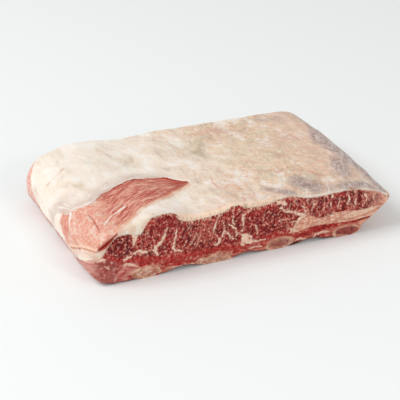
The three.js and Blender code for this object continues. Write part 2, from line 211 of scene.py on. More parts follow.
FAT_VEINS = [
    [(-76, 45, 0.7), (-79, 37, 1.0), (-81.5, 32.5, 1.3), (-87, 28.5, 1.5), (-87.5, 24, 1.5), (-86, 20, 1.2)],
    [(-116, 22.4, 1.3), (-113.5, 23.6, 1.3), (-110.8, 24.7, 0.6)],
    [(-110, 24.5, 0.5), (-106.8, 26.6, 0.9), (-102.8, 27.8, 1.0), (-98.2, 26, 1.2), (-96, 25.6, 0.4),
     (-89, 26, 0.6)],
    [(-67.5, 42, 0.4), (-68, 35.5, 0.6), (-70.5, 28.5, 0.8), (-70.5, 23.5, 0.9), (-68, 20, 0.8),
     (-62, 19, 0.5)],
    [(-44.5, 33.5, 0.3), (-45.5, 29, 0.5), (-48, 23, 0.5), (-50, 20, 0.3)],
    [(-27.5, 46.5, 0.4), (-30.5, 39, 0.6), (-32.5, 31.5, 0.6), (-33.5, 27.5, 0.3)],
    [(-23, 38.5, 0.3), (-22, 30, 0.7), (-23.5, 25.5, 0.9), (-27, 22.5, 0.9), (-26.5, 19.5, 0.9),
     (-29, 16.5, 0.8)],
    [(-31, 29, 0.3), (-27, 23.5, 0.6)],
    [(-33, 20, 0.3), (-29, 16.5, 0.6)],
    [(-21, 29, 0.6), (-17, 24.5, 0.8), (-13, 19.5, 0.5)],
    [(-19, 37, 0.3), (-15.5, 33.5, 0.7), (-12, 30.5, 0.8), (-9.5, 25.5, 0.7), (-5, 22, 0.8)],
    [(-14.5, 49, 0.4), (-13, 41.5, 0.5), (-14.5, 37.5, 0.5), (-12, 33.5, 0.5)],
    [(-4, 41.5, 1.0), (-3.5, 36, 1.1), (-3.3, 31, 0.5)],
    [(-3, 41.5, 0.8), (0.5, 44, 0.7), (4.5, 46, 0.6)],
    [(-10.5, 22.5, 0.5), (-7, 25, 0.7), (-3.5, 27.5, 0.4)],
    [(-3.5, 13.5, 2.5), (-1.5, 18, 3.4), (-2.5, 21, 2.4)],
    [(-1.5, 15, 2.9), (3, 14.5, 2.6), (6.5, 12.8, 1.3)],
    [(0, 21, 1.3), (4, 18, 1.1)],
    [(6, 12.6, 1.2), (13, 12.4, 0.6), (22, 12, 0.4)],
    [(8, 29, 0.5), (10, 24, 0.6), (10, 19.5, 0.3)],
    [(30, 47, 1.6), (35, 45.5, 1.8), (38, 43.5, 1.0)],
    [(33, 40.5, 0.6), (39, 36, 0.9), (48, 33, 0.9), (53, 30.5, 1.3), (57, 27.5, 2.0)],
    [(36, 47, 0.3), (33.5, 40, 0.5)],
    [(32, 28.5, 0.4), (36, 29, 0.7), (41.5, 28, 0.4)],
    [(56, 42, 0.4), (55.5, 38, 0.6), (58, 31, 0.5)],
    [(64, 45, 0.3), (66, 39, 0.4), (64, 33, 0.3)],
    [(76, 37.5, 0.4), (74.5, 29.5, 0.5)],
    [(84, 44, 0.4), (82, 38, 0.4), (84, 32, 0.3)],
    [(91.5, 40, 0.6), (90.5, 30, 0.6)],
    [(99, 44.5, 0.4), (101.5, 38, 0.6), (100, 31.5, 0.4)],
    [(107, 44, 0.4), (109, 38, 0.6), (107.5, 33, 0.5), (109, 27.5, 0.3)],
    [(117, 40, 0.4), (119, 34, 0.7), (117, 29, 0.4)],
    [(126, 37.5, 0.5), (127, 32, 0.6)],
    [(-106.3, 45, 2.8), (-106.5, 40.5, 1.7), (-107.2, 37.2, 1.2), (-107.5, 33, 0.4)],
    [(-93, 57.5, 0.3), (-86, 57, 0.8), (-74, 57.5, 0.6)],
    [(-66, 54, 1.3), (-61.5, 49, 1.2), (-58.5, 46.5, 0.5)],
    [(-58, 20, 0.3), (-52, 27, 0.3), (-49, 34, 0.2)],
    [(-97, 38, 0.3), (-94, 44, 0.4), (-93, 50, 0.3)],
    [(41, 11, 0.5), (44.5, 15.5, 1.2), (49, 21.5, 0.9), (54.5, 27.5, 1.6)],
    [(50, 23, 0.8), (45, 24.8, 0.4), (41, 24, 0.2)],
    [(46, 17.5, 0.6), (40.5, 18, 0.3)],
]
DARK_LOBE = [(-124, 46), (-116, 44.5), (-109.5, 43), (-109, 36.5), (-111.5, 27), (-116, 23), (-121, 20.5),
             (-129, 22), (-132, 29), (-131, 35), (-127, 41.5)]
RIB_MEAT_BANDS = [  # dark red strips of rib meat between the bones, seen on the cut face
    [(48, 8.5, 0.6), (55, 9.6, 2.4), (66, 12, 2.6), (76, 13.4, 2.3), (86, 13.2, 1.3), (90, 12.5, 0.5)],
    [(69, 5, 0.6), (74, 5.6, 1.3), (78, 3, 0.6)],
    [(87.5, 13.2, 0.4), (96, 14.2, 0.6), (106, 13.8, 0.7), (114.5, 13.4, 1.2), (121, 14.6, 1.6),
     (128, 17.2, 1.2)],
]
RIB_GAP_SHADOWS = [  # painted shadow: dark lines for the gaps under the slab, on the cut face
    [(44, 2, 0.8), (49, 2.6, 1.3), (55, 2.8, 0.6)],
    [(62, 1.6, 0.5), (70, 1.4, 0.9), (80, 1.6, 0.5)],
]
RIB_FAT_LINES = [  # pale connective lines of the rib meat
    [(46.5, 3.4, 0.6), (52.9, 5.8, 1.0), (59.1, 4.6, 0.7)],
    [(65.5, 3.4, 0.5), (69, 7.2, 0.9), (76.5, 8.4, 1.1), (82, 7.9, 0.7)],
    [(-78, 6, 0.4), (-66, 4.2, 0.8), (-52, 3.6, 0.5)],
    [(-117, 16.6, 0.6), (-114.2, 18.1, 1.3), (-111, 17.3, 1.4), (-107, 14.6, 1.0), (-103, 12, 0.4)],
    [(2, 6.6, 0.8), (8, 7.2, 0.8), (15, 6.2, 0.6)],
    [(-150, 22.5, 1.6), (-144, 25, 2.4), (-138, 27, 2.5), (-134, 27.5, 1.2)],
]

# Soft stains on the cut face: x, height, reach along and across, turn in degrees and strength.
SEAM_LENSES = [(112, 21.5, 20, 3.2, 6, 1.0), (72, 20, 10, 1.6, 20, 0.7)]
VEILED_MEAT = [(-42, 31, 9, 12, 0, 0.9), (-36, 40, 6, 6, 0, 0.6), (-38, 23, 7, 7, 0, 0.5),
               (118, 30, 10, 4, 0, 0.5)]
CRIMSON_MEAT = [(-84, 48, 11, 9, 0, 1.0), (-66, 38, 8, 10, 0, 0.6), (-60, 15, 26, 5, 0, 0.7),
                (12, 30, 12, 10, 0, 0.5), (70, 38, 12, 7, 0, 0.6)]
DUSKY_MEAT = [(-53, 42, 8, 7, 0, 0.8), (-57, 29, 6, 6, 0, 0.5), (-94, 40, 6, 7, 0, 0.4),
              (-38, 14, 12, 5, 0, 0.4), (22, 18, 12, 5, 0, 0.3), (80, 41, 8, 4, 0, 0.4),
              (64, 33, 5, 7, 0, 0.8), (104, 36, 7, 6, 0, 0.5)]

SCRATCHES = [
    [(-123, 46, 0.1), (-132, 39.5, 0.4), (-141.5, 39.5, 0.1)],
    [(97.6, 29, 0.4), (104.5, 32, 0.9), (108.2, 24, 0.7), (109, 17, 0.2)],
    [(53.9, -41.8, 0.2), (63.4, -36.2, 0.6), (74.1, -34.8, 0.2)],
    [(82, -46, 0.1), (88.5, -56.9, 1.2), (92.2, -61, 0.3)],
]
ORANGE_MARKS = [
    [(-5.2, -54, 0.3), (-1, -49, 0.8), (2.5, -46.8, 1.1), (7, -49.1, 0.9), (7.9, -59.5, 0.4)],
    [(4, -71.4, 0.4), (1.5, -79.7, 0.5), (-1.5, -88, 0.4)],
    [(-4.9, -20.7, 0.2), (-9.4, -37.7, 0.4), (-8.9, -57.4, 0.2)],
    [(12.4, -6.3, 0.2), (6, -14.7, 0.4), (7.8, -24.9, 0.2)],
    [(62.2, 43.7, 0.2), (56.4, 24.8, 0.4), (62.2, 18.9, 0.3), (76.6, 23.5, 0.2)],
    [(96, -26, 0.3), (100, -32, 0.8), (104, -38.9, 0.3)],
    [(47, -74, 0.3), (52, -80, 0.8), (57, -71, 0.4)],
]
TEARS = [
    [(-117, -63, 0.3), (-111.5, -62, 1.0), (-105, -58, 1.5), (-101, -56, 0.6)],
    [(-128.5, -76, 0.2), (-123, -69, 0.5), (-117.5, -64, 0.6)],
    [(-116, -57, 0.2), (-108, -52, 0.4), (-101, -49, 0.2)],
]
FASCIA = [[(-119.5, 48, 1.0), (-127, 44, 1.4), (-131.5, 39.5, 1.5), (-135, 35.5, 1.5), (-136.5, 31.5, 1.2)]]
CREASE = [[(-131.8, -46, 0.2), (-131.9, -61, 0.4), (-133, -77, 0.2)]]
WHITE_CREASE = [
    [(90, -68.3, 0.1), (87.5, -75, 0.4), (86, -80, 0.5), (81.6, -91.1, 0.3)],
    [(-78.7, 5.6, 0.4), (-73, 3.3, 0.4)],
]
DARK_CREASE = [[(121.7, -13.2, 0.5), (124.8, -20.1, 1.0), (129.8, -24, 0.4)]]
STRIP_EDGE = [(-38, 10, -1), (-37, 26, -0.6), (-33.5, 31, 0), (-29.5, 35, 0.9), (-26, 39, 1), (-19, 43, 0.3)]
STRIP_BACK = [(17, -24), (22, -15), (26, -12), (40, -11)]  # height and y of the red strip's back border
WALL_MEAT = [(-95, 14), (0, 13), (17, 13.5), (36, 16), (52, 18), (59, 21.5), (65, 26), (73, 30), (78, 34),
             (83, 38.5), (89, 42)]  # y and height of the border between the wall's meat and the cap

# Soft stains on the top: x, y, reach along and across, turn in degrees and strength.
MEMBRANE_STAINS = [(126, 8, 24, 8, 85, 1.0), (136, -12, 24, 8, 80, 1.0), (138, -46, 28, 9, 88, 1.0),
                   (143, -80, 22, 8, 88, 0.9), (114, -54, 24, 10, 75, 0.9), (70, -71, 20, 13, -60, 1.0),
                   (38, -76, 18, 8, -60, 0.6), (118, -86, 26, 7, 0, 0.8), (136, 42, 22, 6, 80, 0.8),
                   (96, 76, 26, 10, 0, 0.4)]
GREY_STAINS = [(8, 36, 20, 8, 75, 1.0), (20, 49, 12, 7, 20, 0.5), (80, -58, 10, 6, 10, 0.6)]
PINK_STAINS = [(48, 68, 22, 11, 0, 0.9), (86, -54, 16, 8, -10, 0.7), (92, -61, 7, 5, 0, 0.9),
               (3, -56, 16, 12, 0, 0.6), (-21, -86, 60, 9, 0, 0.7), (40, -76, 30, 12, 0, 0.35),
               (100, 26, 14, 8, 0, 0.5), (104, -30, 14, 20, 0, 0.5), (115, -62, 12, 8, 0, 0.6)]
YELLOW_STAINS = [(-115, 75, 5, 12, 0, 0.5), (-137, 22, 5, 9, 0, 0.9), (-82, 64, 5, 9, 0, 0.8),
                 (-86, 38, 6, 9, 0, 0.9), (-81, 26, 5, 7, 0, 0.7), (-64, 40, 7, 9, 0, 0.9),
                 (-58, 30, 6, 7, 0, 0.9), (-122, 3, 10, 9, 20, 0.7), (-98, 48, 6, 8, 0, 0.6),
                 (-27, 48, 26, 14, 10, 0.7), (-34, -56, 20, 14, 0, 0.5), (60, 28, 40, 30, 0, 0.4),
                 (20, 0, 30, 24, 0, 0.3)]

# ---------------------------------------------------------------------------------------------------------
# Small mathematics on arrays.


def on_plan(*columns):
    """Points of a plan as rows of three numbers, the last of them 0."""
    return np.column_stack([*columns, np.zeros(len(columns[-1]))])


def lerp(start, end, share):
    return start + (end - start) * share


def smoothstep(value, low, high):
    share = np.clip((value - low) / (high - low), 0, 1)
    return share * share * (3 - 2 * share)


def quarter(share):
    """A quarter circle's height, from 0 at the rim to 1 where the rounding ends."""
    rest = 1 - np.clip(share, 0, 1)
    return np.sqrt(1 - rest * rest)


def ridge(name, distance):
    """One of the ridges at points that are a distance from its mark."""
    height, width, beside = RIDGES[name]
    return height * np.exp(-(((distance - beside) / width) ** 2))


def finer_at_ends(share, strength):
    """A share from 0 to 1, shifted so that even steps come out shorter near both ends."""
    return share - strength * np.sin(2 * np.pi * share) / (2 * np.pi)


def curve(stations):
    """A smooth curve through (x, value) stations, as a function of x."""
    xs, values = np.array(stations, float).T
    slopes = np.gradient(values, xs)
    slopes[1:-1] = (values[2:] - values[:-2]) / (xs[2:] - xs[:-2])

    def at(x):
        x = np.clip(x, xs[0], xs[-1])
        i = np.clip(np.searchsorted(xs, x, side="right") - 1, 0, len(xs) - 2)
        span = xs[i + 1] - xs[i]
        t = (x - xs[i]) / span
        rise = t * t * (3 - 2 * t)
        bend = t * (1 - t) * ((1 - t) * slopes[i] - t * slopes[i + 1]) * span
        return lerp(values[i], values[i + 1], rise) + bend

    return at


def rounded_line(corners, steps):
    """Points along a smooth line through the corners."""
    corners = np.array(corners, float)
    padded = np.vstack([corners[:1], corners, corners[-1:]])
    share = np.linspace(0, len(corners) - 1, steps, endpoint=True)
    i = np.minimum(share.astype(int), len(corners) - 2)
    t = (share - i)[:, None]
    before, start, end, after = (padded[i + k] for k in range(4))
    leave, arrive = (end - before) / 2, (after - start) / 2
    return ((2 * start - 2 * end + leave + arrive) * t**3
            + (-3 * start + 3 * end - 2 * leave - arrive) * t**2 + leave * t + start)


def texture(name, points, shift=0):
    """One of the textures, up to about its height either way; shift gives another of the same kind."""
    height, size, octaves, seed = TEXTURES[name]
    scaled = (points / np.array(size, float) + SEED_STEP * (seed + shift)).tolist()
    return height * np.fromiter((noise.fractal(p, 1.0, 2.0, octaves) for p in scaled), float, len(scaled))


def away_from(lines, points):
    """Distance from each point to the nearest line's edge, negative within; lines are (a, b, half width)."""
    nearest = np.full(len(points), FAR)
    for line in lines:
        for (a0, b0, wide0), (a1, b1, wide1) in zip(line, line[1:]):
            along = np.array([a1 - a0, b1 - b0])
            offset = points - (a0, b0)
            share = np.clip(offset @ along / (along @ along), 0, 1)
            gap = offset - share[:, None] * along
            nearest = np.minimum(nearest, np.hypot(gap[:, 0], gap[:, 1]) - lerp(wide0, wide1, share))
    return nearest


def within(outline, points):
    """Which points lie inside a closed outline."""
    inside = np.zeros(len(points), bool)
    for (a0, b0), (a1, b1) in zip(outline, [*outline[1:], outline[0]]):
        crosses = (b0 > points[:, 1]) != (b1 > points[:, 1])
        if b0 != b1:
            inside ^= crosses & (points[:, 0] < (a1 - a0) * (points[:, 1] - b0) / (b1 - b0) + a0)
    return inside


def away_from_outline(outline, points):
    """Distance to a closed outline, negative inside it."""
    line = [(a, b, 0) for a, b in [*outline, outline[0]]]
    return away_from([line], points) * np.where(within(outline, points), -1, 1)


def stains(spots, points):
    """Soft oval spots added up, from 0 to 1."""
    total = np.zeros(len(points))
    for x, y, reach_along, reach_across, turn, strength in spots:
        angle = math.radians(turn)
        dx, dy = points[:, 0] - x, points[:, 1] - y
        along = dx * math.cos(angle) + dy * math.sin(angle)
        across = dy * math.cos(angle) - dx * math.sin(angle)
        total += strength * np.exp(-((along / reach_along) ** 2 + (across / reach_across) ** 2))
    return np.clip(total, 0, 1)


# ---------------------------------------------------------------------------------------------------------
# The slab's outer shape and the surfaces that part its layers.

front_crest = curve(FRONT_CREST)
middle_crest = curve(MIDDLE_CREST)
back_crest = curve(BACK_CREST)
cut_muscle_top = curve(CUT_MUSCLE_TOP)
cut_rib_top = curve(CUT_RIB_TOP)
seam_top = curve(SEAM_TOP)


def crest(x, y):
    """The top's height away from the rounded ends."""
    front, middle, back = front_crest(x), middle_crest(x), back_crest(x)
    side = y / HALF_WIDTH
    soft = sum(height * np.exp(-((x - a) ** 2 + (y - b) ** 2) / reach**2) for a, b, reach, height in DENTS)
    return middle + (back - front) / 2 * side + ((back + front) / 2 - middle) * side**2 + soft


def underside(x):
    """The underside's height: arches between the bones and the undercut right end."""
    nearest = np.min([np.abs(x - bone[0]) for bone in BONES], axis=0)
    amid = (x > BONES[0][0]) & (x < BONES[-1][0])
    slope = np.clip((x - UNDERCUT["start"]) / (UNDERCUT["end"] - UNDERCUT["start"]), 0, 1)
    arch = np.where(amid, ARCH["height"] * smoothstep(nearest, ARCH["start"], ARCH["end"]), 0)
    return arch + UNDERCUT["height"] * slope ** UNDERCUT["bend"]


def fullness(from_end, radius, blunt):
    """How much of its height the slab has near a rounded end, which stays a little blunt."""
    return np.maximum(quarter(from_end / radius), blunt)


def top(x, y):
    """The top's height, rounded off at both ends."""
    left = fullness(x - LEFT_END, LEFT_ROUND["above"], LEFT_ROUND["blunt"])
    right = fullness(RIGHT_END - x, RIGHT_ROUND["above"], RIGHT_ROUND["blunt"])
    return lerp(RIGHT_ROUND["middle"], lerp(LEFT_ROUND["middle"], crest(x, y), left), right)


def behind_cut(y):
    """0 at the cut face, 1 where the layers have their inner shape."""
    return smoothstep(y, -HALF_WIDTH, CUT_DEPTH - HALF_WIDTH)


def bottom(x, y):
    """The underside's height, rounded up at the left end."""
    radius = lerp(LEFT_ROUND["below_at_cut"], LEFT_ROUND["below_behind"], behind_cut(y))
    return lerp(LEFT_ROUND["middle"], underside(x), fullness(x - LEFT_END, radius, LEFT_ROUND["blunt"]))


def corner_pull(from_end, radius):
    """How far a corner of the outline is drawn in, in plan."""
    return radius * (1 - quarter(from_end / radius))


def front_edge(x):
    """Where the cut face lies: y at each x."""
    left = corner_pull(x - LEFT_END, CORNERS["front_left"])
    right = corner_pull(RIGHT_END - x, CORNERS["front_right"])
    skew = CUT_SKEW["depth"] * (1 - smoothstep(x, CUT_SKEW["start"], CUT_SKEW["end"]))
    return skew + left + right - HALF_WIDTH


def back_edge(x):
    """Where the back lies: y at each x."""
    left = corner_pull(x - LEFT_END, CORNERS["back_left"])
    right = corner_pull(RIGHT_END - x, CORNERS["back_right"])
    return HALF_WIDTH - left - right


def drawn_in(roll, from_edge):
    """How far a rolled edge lies below the surface, or above the underside."""
    return roll * (1 - quarter(from_edge / roll))


def rib_top(x, y):
    """The height where the rib meat ends."""
    cut = cut_rib_top(x)
    inner = lerp(INNER_RIB_TOP, cut, smoothstep(x, INNER_RIB_END, BONES[0][0]))
    return lerp(cut, inner, behind_cut(y))


def muscle_bottom(x, y):
    """The height where the seam fat ends and the main muscle begins."""
    return np.maximum(rib_top(x, y), seam_top(x))


def muscle_top(x, y):
    """The height where the main muscle ends and the cap begins."""
    thin = smoothstep(x, CAP_THICKNESS["start"], CAP_THICKNESS["end"])
    cap = lerp(CAP_THICKNESS["left"], CAP_THICKNESS["right"], thin)
    wall = quarter((x - LEFT_END - CAP_THICKNESS["left"]) / LEFT_ROUND["above"])
    inner = lerp(INNER_RIB_TOP, np.minimum(crest(x, y), top(x, y)) - cap, wall)
    return np.maximum(lerp(cut_muscle_top(x), inner, behind_cut(y)), muscle_bottom(x, y))


def window_floor(x, y):
    """The underside of the muscle sheet that the window bares, down to its edge on the left wall."""
    lower = smoothstep(y, WALL_EDGE["front"], WALL_EDGE["back"])
    edge = lerp(WALL_EDGE["at_cut"], WALL_EDGE["behind"], lower)
    blend = smoothstep(x, WALL_BLEND["start"], WALL_BLEND["end"])
    return np.maximum(lerp(edge, top(x, y) - MUSCLE_SHEET, blend), muscle_top(x, y) + LEAST_FAT)


WINDOW_LINE = rounded_line(WINDOW, WINDOW_STEPS)
TIP_POINT = round((WINDOW_STEPS - 1) * WINDOW_TIP / (len(WINDOW) - 1))


def window_distances(plan):
    """Distances in plan to the window's upper and lower edge, and to its outline, negative inside."""
    upper, lower = (away_from([[(*p, 0) for p in line]], plan)
                    for line in (WINDOW_LINE[: TIP_POINT + 1], WINDOW_LINE[TIP_POINT:]))
    return upper, lower, np.minimum(upper, lower) * np.where(within(WINDOW_LINE, plan), -1, 1)


def across_window(upper, lower):
    """How far across the window points lie from its upper edge, as if it were equally wide all along."""
    return upper / (upper + lower + 0.01) * WINDOW_WIDTH


# ---------------------------------------------------------------------------------------------------------
# Mesh helpers.


def divided_cube(name, cells):
    """A cube from 0 to 1 on each axis, its faces divided into a grid."""
    bm = bmesh.new()
    bmesh.ops.create_cube(bm, size=1, matrix=Matrix.Translation((0.5, 0.5, 0.5)))
    for axis, count in enumerate(cells):
        if count > 1:
            along = [e for e in bm.edges if abs(e.verts[0].co[axis] - e.verts[1].co[axis]) > 0.5]
            bmesh.ops.subdivide_edges(bm, edges=along, cuts=count - 1, use_grid_fill=True)
    mesh = bpy.data.meshes.new(name)
    bm.to_mesh(mesh)
    bm.free()
    return mesh


def points_of(mesh, kind="co"):
    """A mesh's points, or another triple kept on them, as rows of three numbers."""
    flat = np.empty(len(mesh.vertices) * 3)
    mesh.vertices.foreach_get(kind, flat)
    return flat.reshape(-1, 3)


def move_points(mesh, points):
    mesh.vertices.foreach_set("co", np.ascontiguousarray(points, dtype=float).ravel())
    mesh.update()


def carved(mesh, inside=(), outside=()):
    """The part of a mesh that lies inside some cutting meshes and outside others."""
    blank = bpy.data.objects.new("carving", mesh)
    tools = [bpy.data.objects.new("tool", cutter) for cutter in (*inside, *outside)]
    for item in (blank, *tools):
        bpy.context.scene.collection.objects.link(item)
    for number, tool in enumerate(tools):
        cut = blank.modifiers.new("cut", "BOOLEAN")
        cut.operation = "INTERSECT" if number < len(inside) else "DIFFERENCE"
        cut.solver = "MANIFOLD"
        cut.object = tool
    bpy.context.view_layer.update()
    made = bpy.data.meshes.new_from_object(blank.evaluated_get(bpy.context.evaluated_depsgraph_get()))
    for item in (blank, *tools):
        bpy.data.objects.remove(item)
    if not made.polygons:
        raise RuntimeError(f"cutting {mesh.name} left nothing")
    return without_crumbs(made)


def without_crumbs(mesh):
    """The largest body of a mesh; the loose crumbs that cuts leave beside it go."""
    bm = bmesh.new()
    bm.from_mesh(mesh)
    unseen = set(bm.faces)
    bodies = []
    while unseen:
        waiting = [unseen.pop()]
        body = list(waiting)
        while waiting:
            touching = {face for edge in waiting.pop().edges for face in edge.link_faces} & unseen
            unseen -= touching
            waiting.extend(touching)
            body.extend(touching)
        bodies.append(body)
    bodies.sort(key=len)
    crumbs = [face for body in bodies[:-1] for face in body]
    bmesh.ops.delete(bm, geom=crumbs, context="FACES")
    bm.to_mesh(mesh)
    bm.free()
    return mesh


def below(surface, lift=0.0):
    """Everything under a surface, with room to spare all round the slab; its edge is a little ragged."""
    mesh = divided_cube("below", LAYER_CELLS)
    u, v, w = points_of(mesh).T
    x = lerp(LEFT_END - SPARE, RIGHT_END + SPARE, finer_at_ends(u, LAYER_FINER[0]))
    y = lerp(-HALF_WIDTH - SPARE, HALF_WIDTH + SPARE, finer_at_ends(v, LAYER_FINER[1]))
    upper = surface(x, y) + texture("layer_edge", on_plan(x, y)) + lift
    move_points(mesh, np.column_stack([x, y, np.where(w > 0.5, upper, -SPARE)]))
    return mesh


def window_prism(lift=0.0):
    """The window's outline as an upright prism, its edge slightly ragged, its sides moved out by lift."""
    line = rounded_line(WINDOW, WINDOW_SIDES)
    along = np.gradient(line, axis=0)
    outwards = np.column_stack([-along[:, 1], along[:, 0]]) / np.linalg.norm(along, axis=1)[:, None]
    outline = line + outwards * (texture("window_edge", on_plan(line)) + lift)[:, None]
    bm = bmesh.new()
    face = bm.faces.new([bm.verts.new((x, y, -SPARE)) for x, y in outline])
    raised = bmesh.ops.extrude_face_region(bm, geom=[face])["geom"]
    raised = [item for item in raised if isinstance(item, bmesh.types.BMVert)]
    bmesh.ops.translate(bm, verts=raised, vec=(0, 0, WINDOW_HEIGHT))
    bmesh.ops.recalc_face_normals(bm, faces=bm.faces)
    bmesh.ops.triangulate(bm, faces=bm.faces)
    mesh = bpy.data.meshes.new("window")
    bm.to_mesh(mesh)
    bm.free()
    return mesh


def crack_frame():
    """The crack's two ends on the cut face, and the direction across it."""
    start, end = np.array(CRACK["from"]), np.array(CRACK["to"])
    along = (end - start) / np.linalg.norm(end - start)
    return start, end, np.array([-along[1], along[0]])


def crack_half_width(share):
    """Half the crack's width along its run; it is widest beyond the middle."""
    return CRACK["width"] / 2 * np.sin(np.pi * share ** CRACK["skew"]) + CRACK["least"]


def crack_slot():
    """The open crack: a lens-shaped slot on the cut face that narrows as it goes in."""
    mesh = divided_cube("crack", CRACK_CELLS)
    u, v, w = points_of(mesh).T
    start, end, across = crack_frame()
    line = start + u[:, None] * (end - start)
    half_width = crack_half_width(u) * lerp(1.0, CRACK["inner"], v) * (2 * w - 1)
    place = line + half_width[:, None] * across
    wavy = texture("crack", np.column_stack([place, v * 8]))
    deep = lerp(-HALF_WIDTH - SPARE, front_edge(place[:, 0]) + CRACK["depth"], v)
    move_points(mesh, np.column_stack([place[:, 0] + wavy, deep, place[:, 1] + wavy]))
    return turned_outwards(mesh)


def turned_outwards(mesh):
    """The mesh with its faces turned outwards, where warping has turned it inside out."""
    bm = bmesh.new()
    bm.from_mesh(mesh)
    if bm.calc_volume(signed=True) < 0:
        bmesh.ops.reverse_faces(bm, faces=bm.faces)
    bm.to_mesh(mesh)
    bm.free()
    return mesh


# ---------------------------------------------------------------------------------------------------------
# The slab with all of its relief.


def cut_weight(points, normals):
    """1 on the cut face, 0 elsewhere."""
    return smoothstep(-normals[:, 1], *FACING["cut"]) * (points[:, 1] < 0)


def relief(points, normals, strength):
    """How far each point of the slab's surface stands proud of its smooth shape."""
    cut = cut_weight(points, normals)
    upward = smoothstep(normals[:, 2], *FACING["up"]) * (1 - cut)
    underneath = smoothstep(-normals[:, 2], *FACING["down"])
    height = texture("body", points) - SET_BACK
    height += texture("lumps", points) * (1 - underneath)
    height += upward * texture("fine", points) + underneath * texture("underside", points)
    height += window_relief(points, cut, upward) + cut * cut_relief(points)
    return np.clip(height * strength, DEEPEST, MOST_PROUD)


def window_relief(points, cut, upward):
    """The window sinks in, with fibres along it and a raised rim; scratches and creases mark the top."""
    x, y, z = points.T
    plan = points[:, :2]
    upper, lower, outline = window_distances(plan)
    bared = (upward > 0) | (x < LEFT_END + LEFT_WALL["bared"])
    low_wall = z > window_floor(x, y) - 1
    inside = smoothstep(-outline, *WINDOW_SLOPE) * bared * low_wall * (1 - cut)
    strip_back = STRIP_BACK[-1][1]
    before_strip = smoothstep(-y, -strip_back - STRIP_FADES, -strip_back)
    inside *= np.where(x < LEFT_END + LEFT_WALL["trimmed"], before_strip, 1)
    tear = away_from(TEARS, plan)
    sunk = texture("fibres", on_plan(plan @ WINDOW_RUN, across_window(upper, lower))) - WINDOW_DEPTH
    sunk += ridge("crease", away_from(CREASE, plan)) + ridge("tear", tear) + ridge("beside_tear", tear)
    around = ridge("window_rim", outline) + ridge("scratch", away_from(SCRATCHES, plan))
    white = ridge("white_crease", away_from(WHITE_CREASE, plan))
    return inside * sunk + upward * ((outline > 0) * around + white)


def cut_relief(points):
    """The cut face: grain, meat that bulges between the fat veins, and grooves between the layers."""
    x, _, z = points.T
    face = points[:, FACE]
    muscle = (z < cut_muscle_top(x)) & (z > cut_rib_top(x))
    bulge = BULGE["height"] * smoothstep(away_from(FAT_VEINS, face), 0, BULGE["reach"]) - BULGE["sunk"]
    grooves = ridge("under_cap", z - cut_muscle_top(x))
    grooves += ridge("over_ribs", z - np.maximum(cut_rib_top(x), seam_top(x)))
    grooves += ridge("round_lobe", away_from_outline(DARK_LOBE, face))
    return texture("cut_grain", points @ CUT_GRAIN_LEAN) + bulge * muscle + grooves


@functools.cache
def whole_slab():
    """The slab before it is cut into layers, with its relief."""
    sizes = bpy.context.scene.short_rib_shape
    mesh = divided_cube("slab", SLAB_CELLS)
    u, v, w = points_of(mesh).T
    x = lerp(LEFT_END, RIGHT_END, finer_at_ends(u, SLAB_FINER[0]))
    y = lerp(front_edge(x), back_edge(x), finer_at_ends(v, SLAB_FINER[1]))
    low, high = bottom(x, y), top(x, y)
    most_roll = (high - low) * MOST_ROLL
    to_right = smoothstep(x, CUT_ROLL["start"], CUT_ROLL["end"])
    cut_roll = np.minimum(lerp(CUT_ROLL["left"], CUT_ROLL["right"], to_right), most_roll)
    back_roll = np.minimum(BACK_ROLL, most_roll)
    bottom_roll = np.minimum(BOTTOM_ROLL, most_roll)
    from_front, from_back = y - front_edge(x), back_edge(x) - y
    ceiling = high - drawn_in(cut_roll, from_front) - drawn_in(back_roll, from_back)
    floor = low + drawn_in(bottom_roll, np.minimum(from_front, from_back))
    move_points(mesh, np.column_stack([x, y, lerp(floor, ceiling, w)]))
    points, normals = points_of(mesh), points_of(mesh, "normal")
    points = points + normals * relief(points, normals, sizes.relief)[:, None]
    farthest = HALF_WIDTH - CLEARANCE
    lowest, highest = (LEFT_END + CLEARANCE, -farthest, 0), (RIGHT_END - CLEARANCE, farthest, MOST_HEIGHT)
    move_points(mesh, np.clip(points, lowest, highest))
    return mesh


def bone_ends(x, centre):
    """Where the cut face and the back meet a bone's middle, for points with the given x."""
    middle = np.full(len(x), float(centre))
    return front_edge(middle), back_edge(middle)


def bone_sway(y, ends, sway):
    """How far a bone's middle swings aside on its way to the back."""
    front, back = ends
    return sway * np.sin(BONE_SWAY * (np.clip((y - front) / (back - front), 0, 1) - 0.5))


def bone_mesh(spec, past, shrink=0.0, resting=True):
    """One rib bone, reaching past the slab's faces; resting flattens its lowest part on the table."""
    centre, width, height, roll, sway = spec
    mesh = divided_cube("bone", BONE_CELLS)
    a, along, c = points_of(mesh).T
    a, c = 2 * a - 1, 2 * c - 1
    disc = np.array([a * np.sqrt(1 - c * c / 2), c * np.sqrt(1 - a * a / 2)])
    radius = np.hypot(*disc)
    side, rise = np.sign(disc) * np.abs(disc / np.where(radius > 0, radius, 1)) ** BONE_SQUARENESS * radius
    ends = bone_ends(along, centre)
    y = lerp(ends[0] - past, ends[1] + past, finer_at_ends(along, BONE_FINER))
    rim = np.column_stack([side * width / 2 + centre, y, rise * height / 2])
    uneven = texture("bone", rim) - shrink - BONE_UNEVEN / 2
    across, up = side * (width / 2 + uneven), rise * (height / 2 + uneven)
    tilt = math.radians(roll)
    x = across * math.cos(tilt) + up * math.sin(tilt) + bone_sway(y, ends, sway) + centre
    z = up * math.cos(tilt) - across * math.sin(tilt) + height / 2 - BONE_SINK
    if resting:
        at_end = np.abs(along - 0.5) > 0.4999
        spongy = smoothstep(1 - radius, *BONE_SHELL)
        dents = TEXTURES["sawn_end"][0] + texture("sawn_end", np.column_stack([x, y, z]), centre)
        y = y + np.where(at_end, np.sign(0.5 - along) * spongy * dents, 0)
        z = np.maximum(z, 0)
    move_points(mesh, np.column_stack([x, y, z]))
    return turned_outwards(mesh)


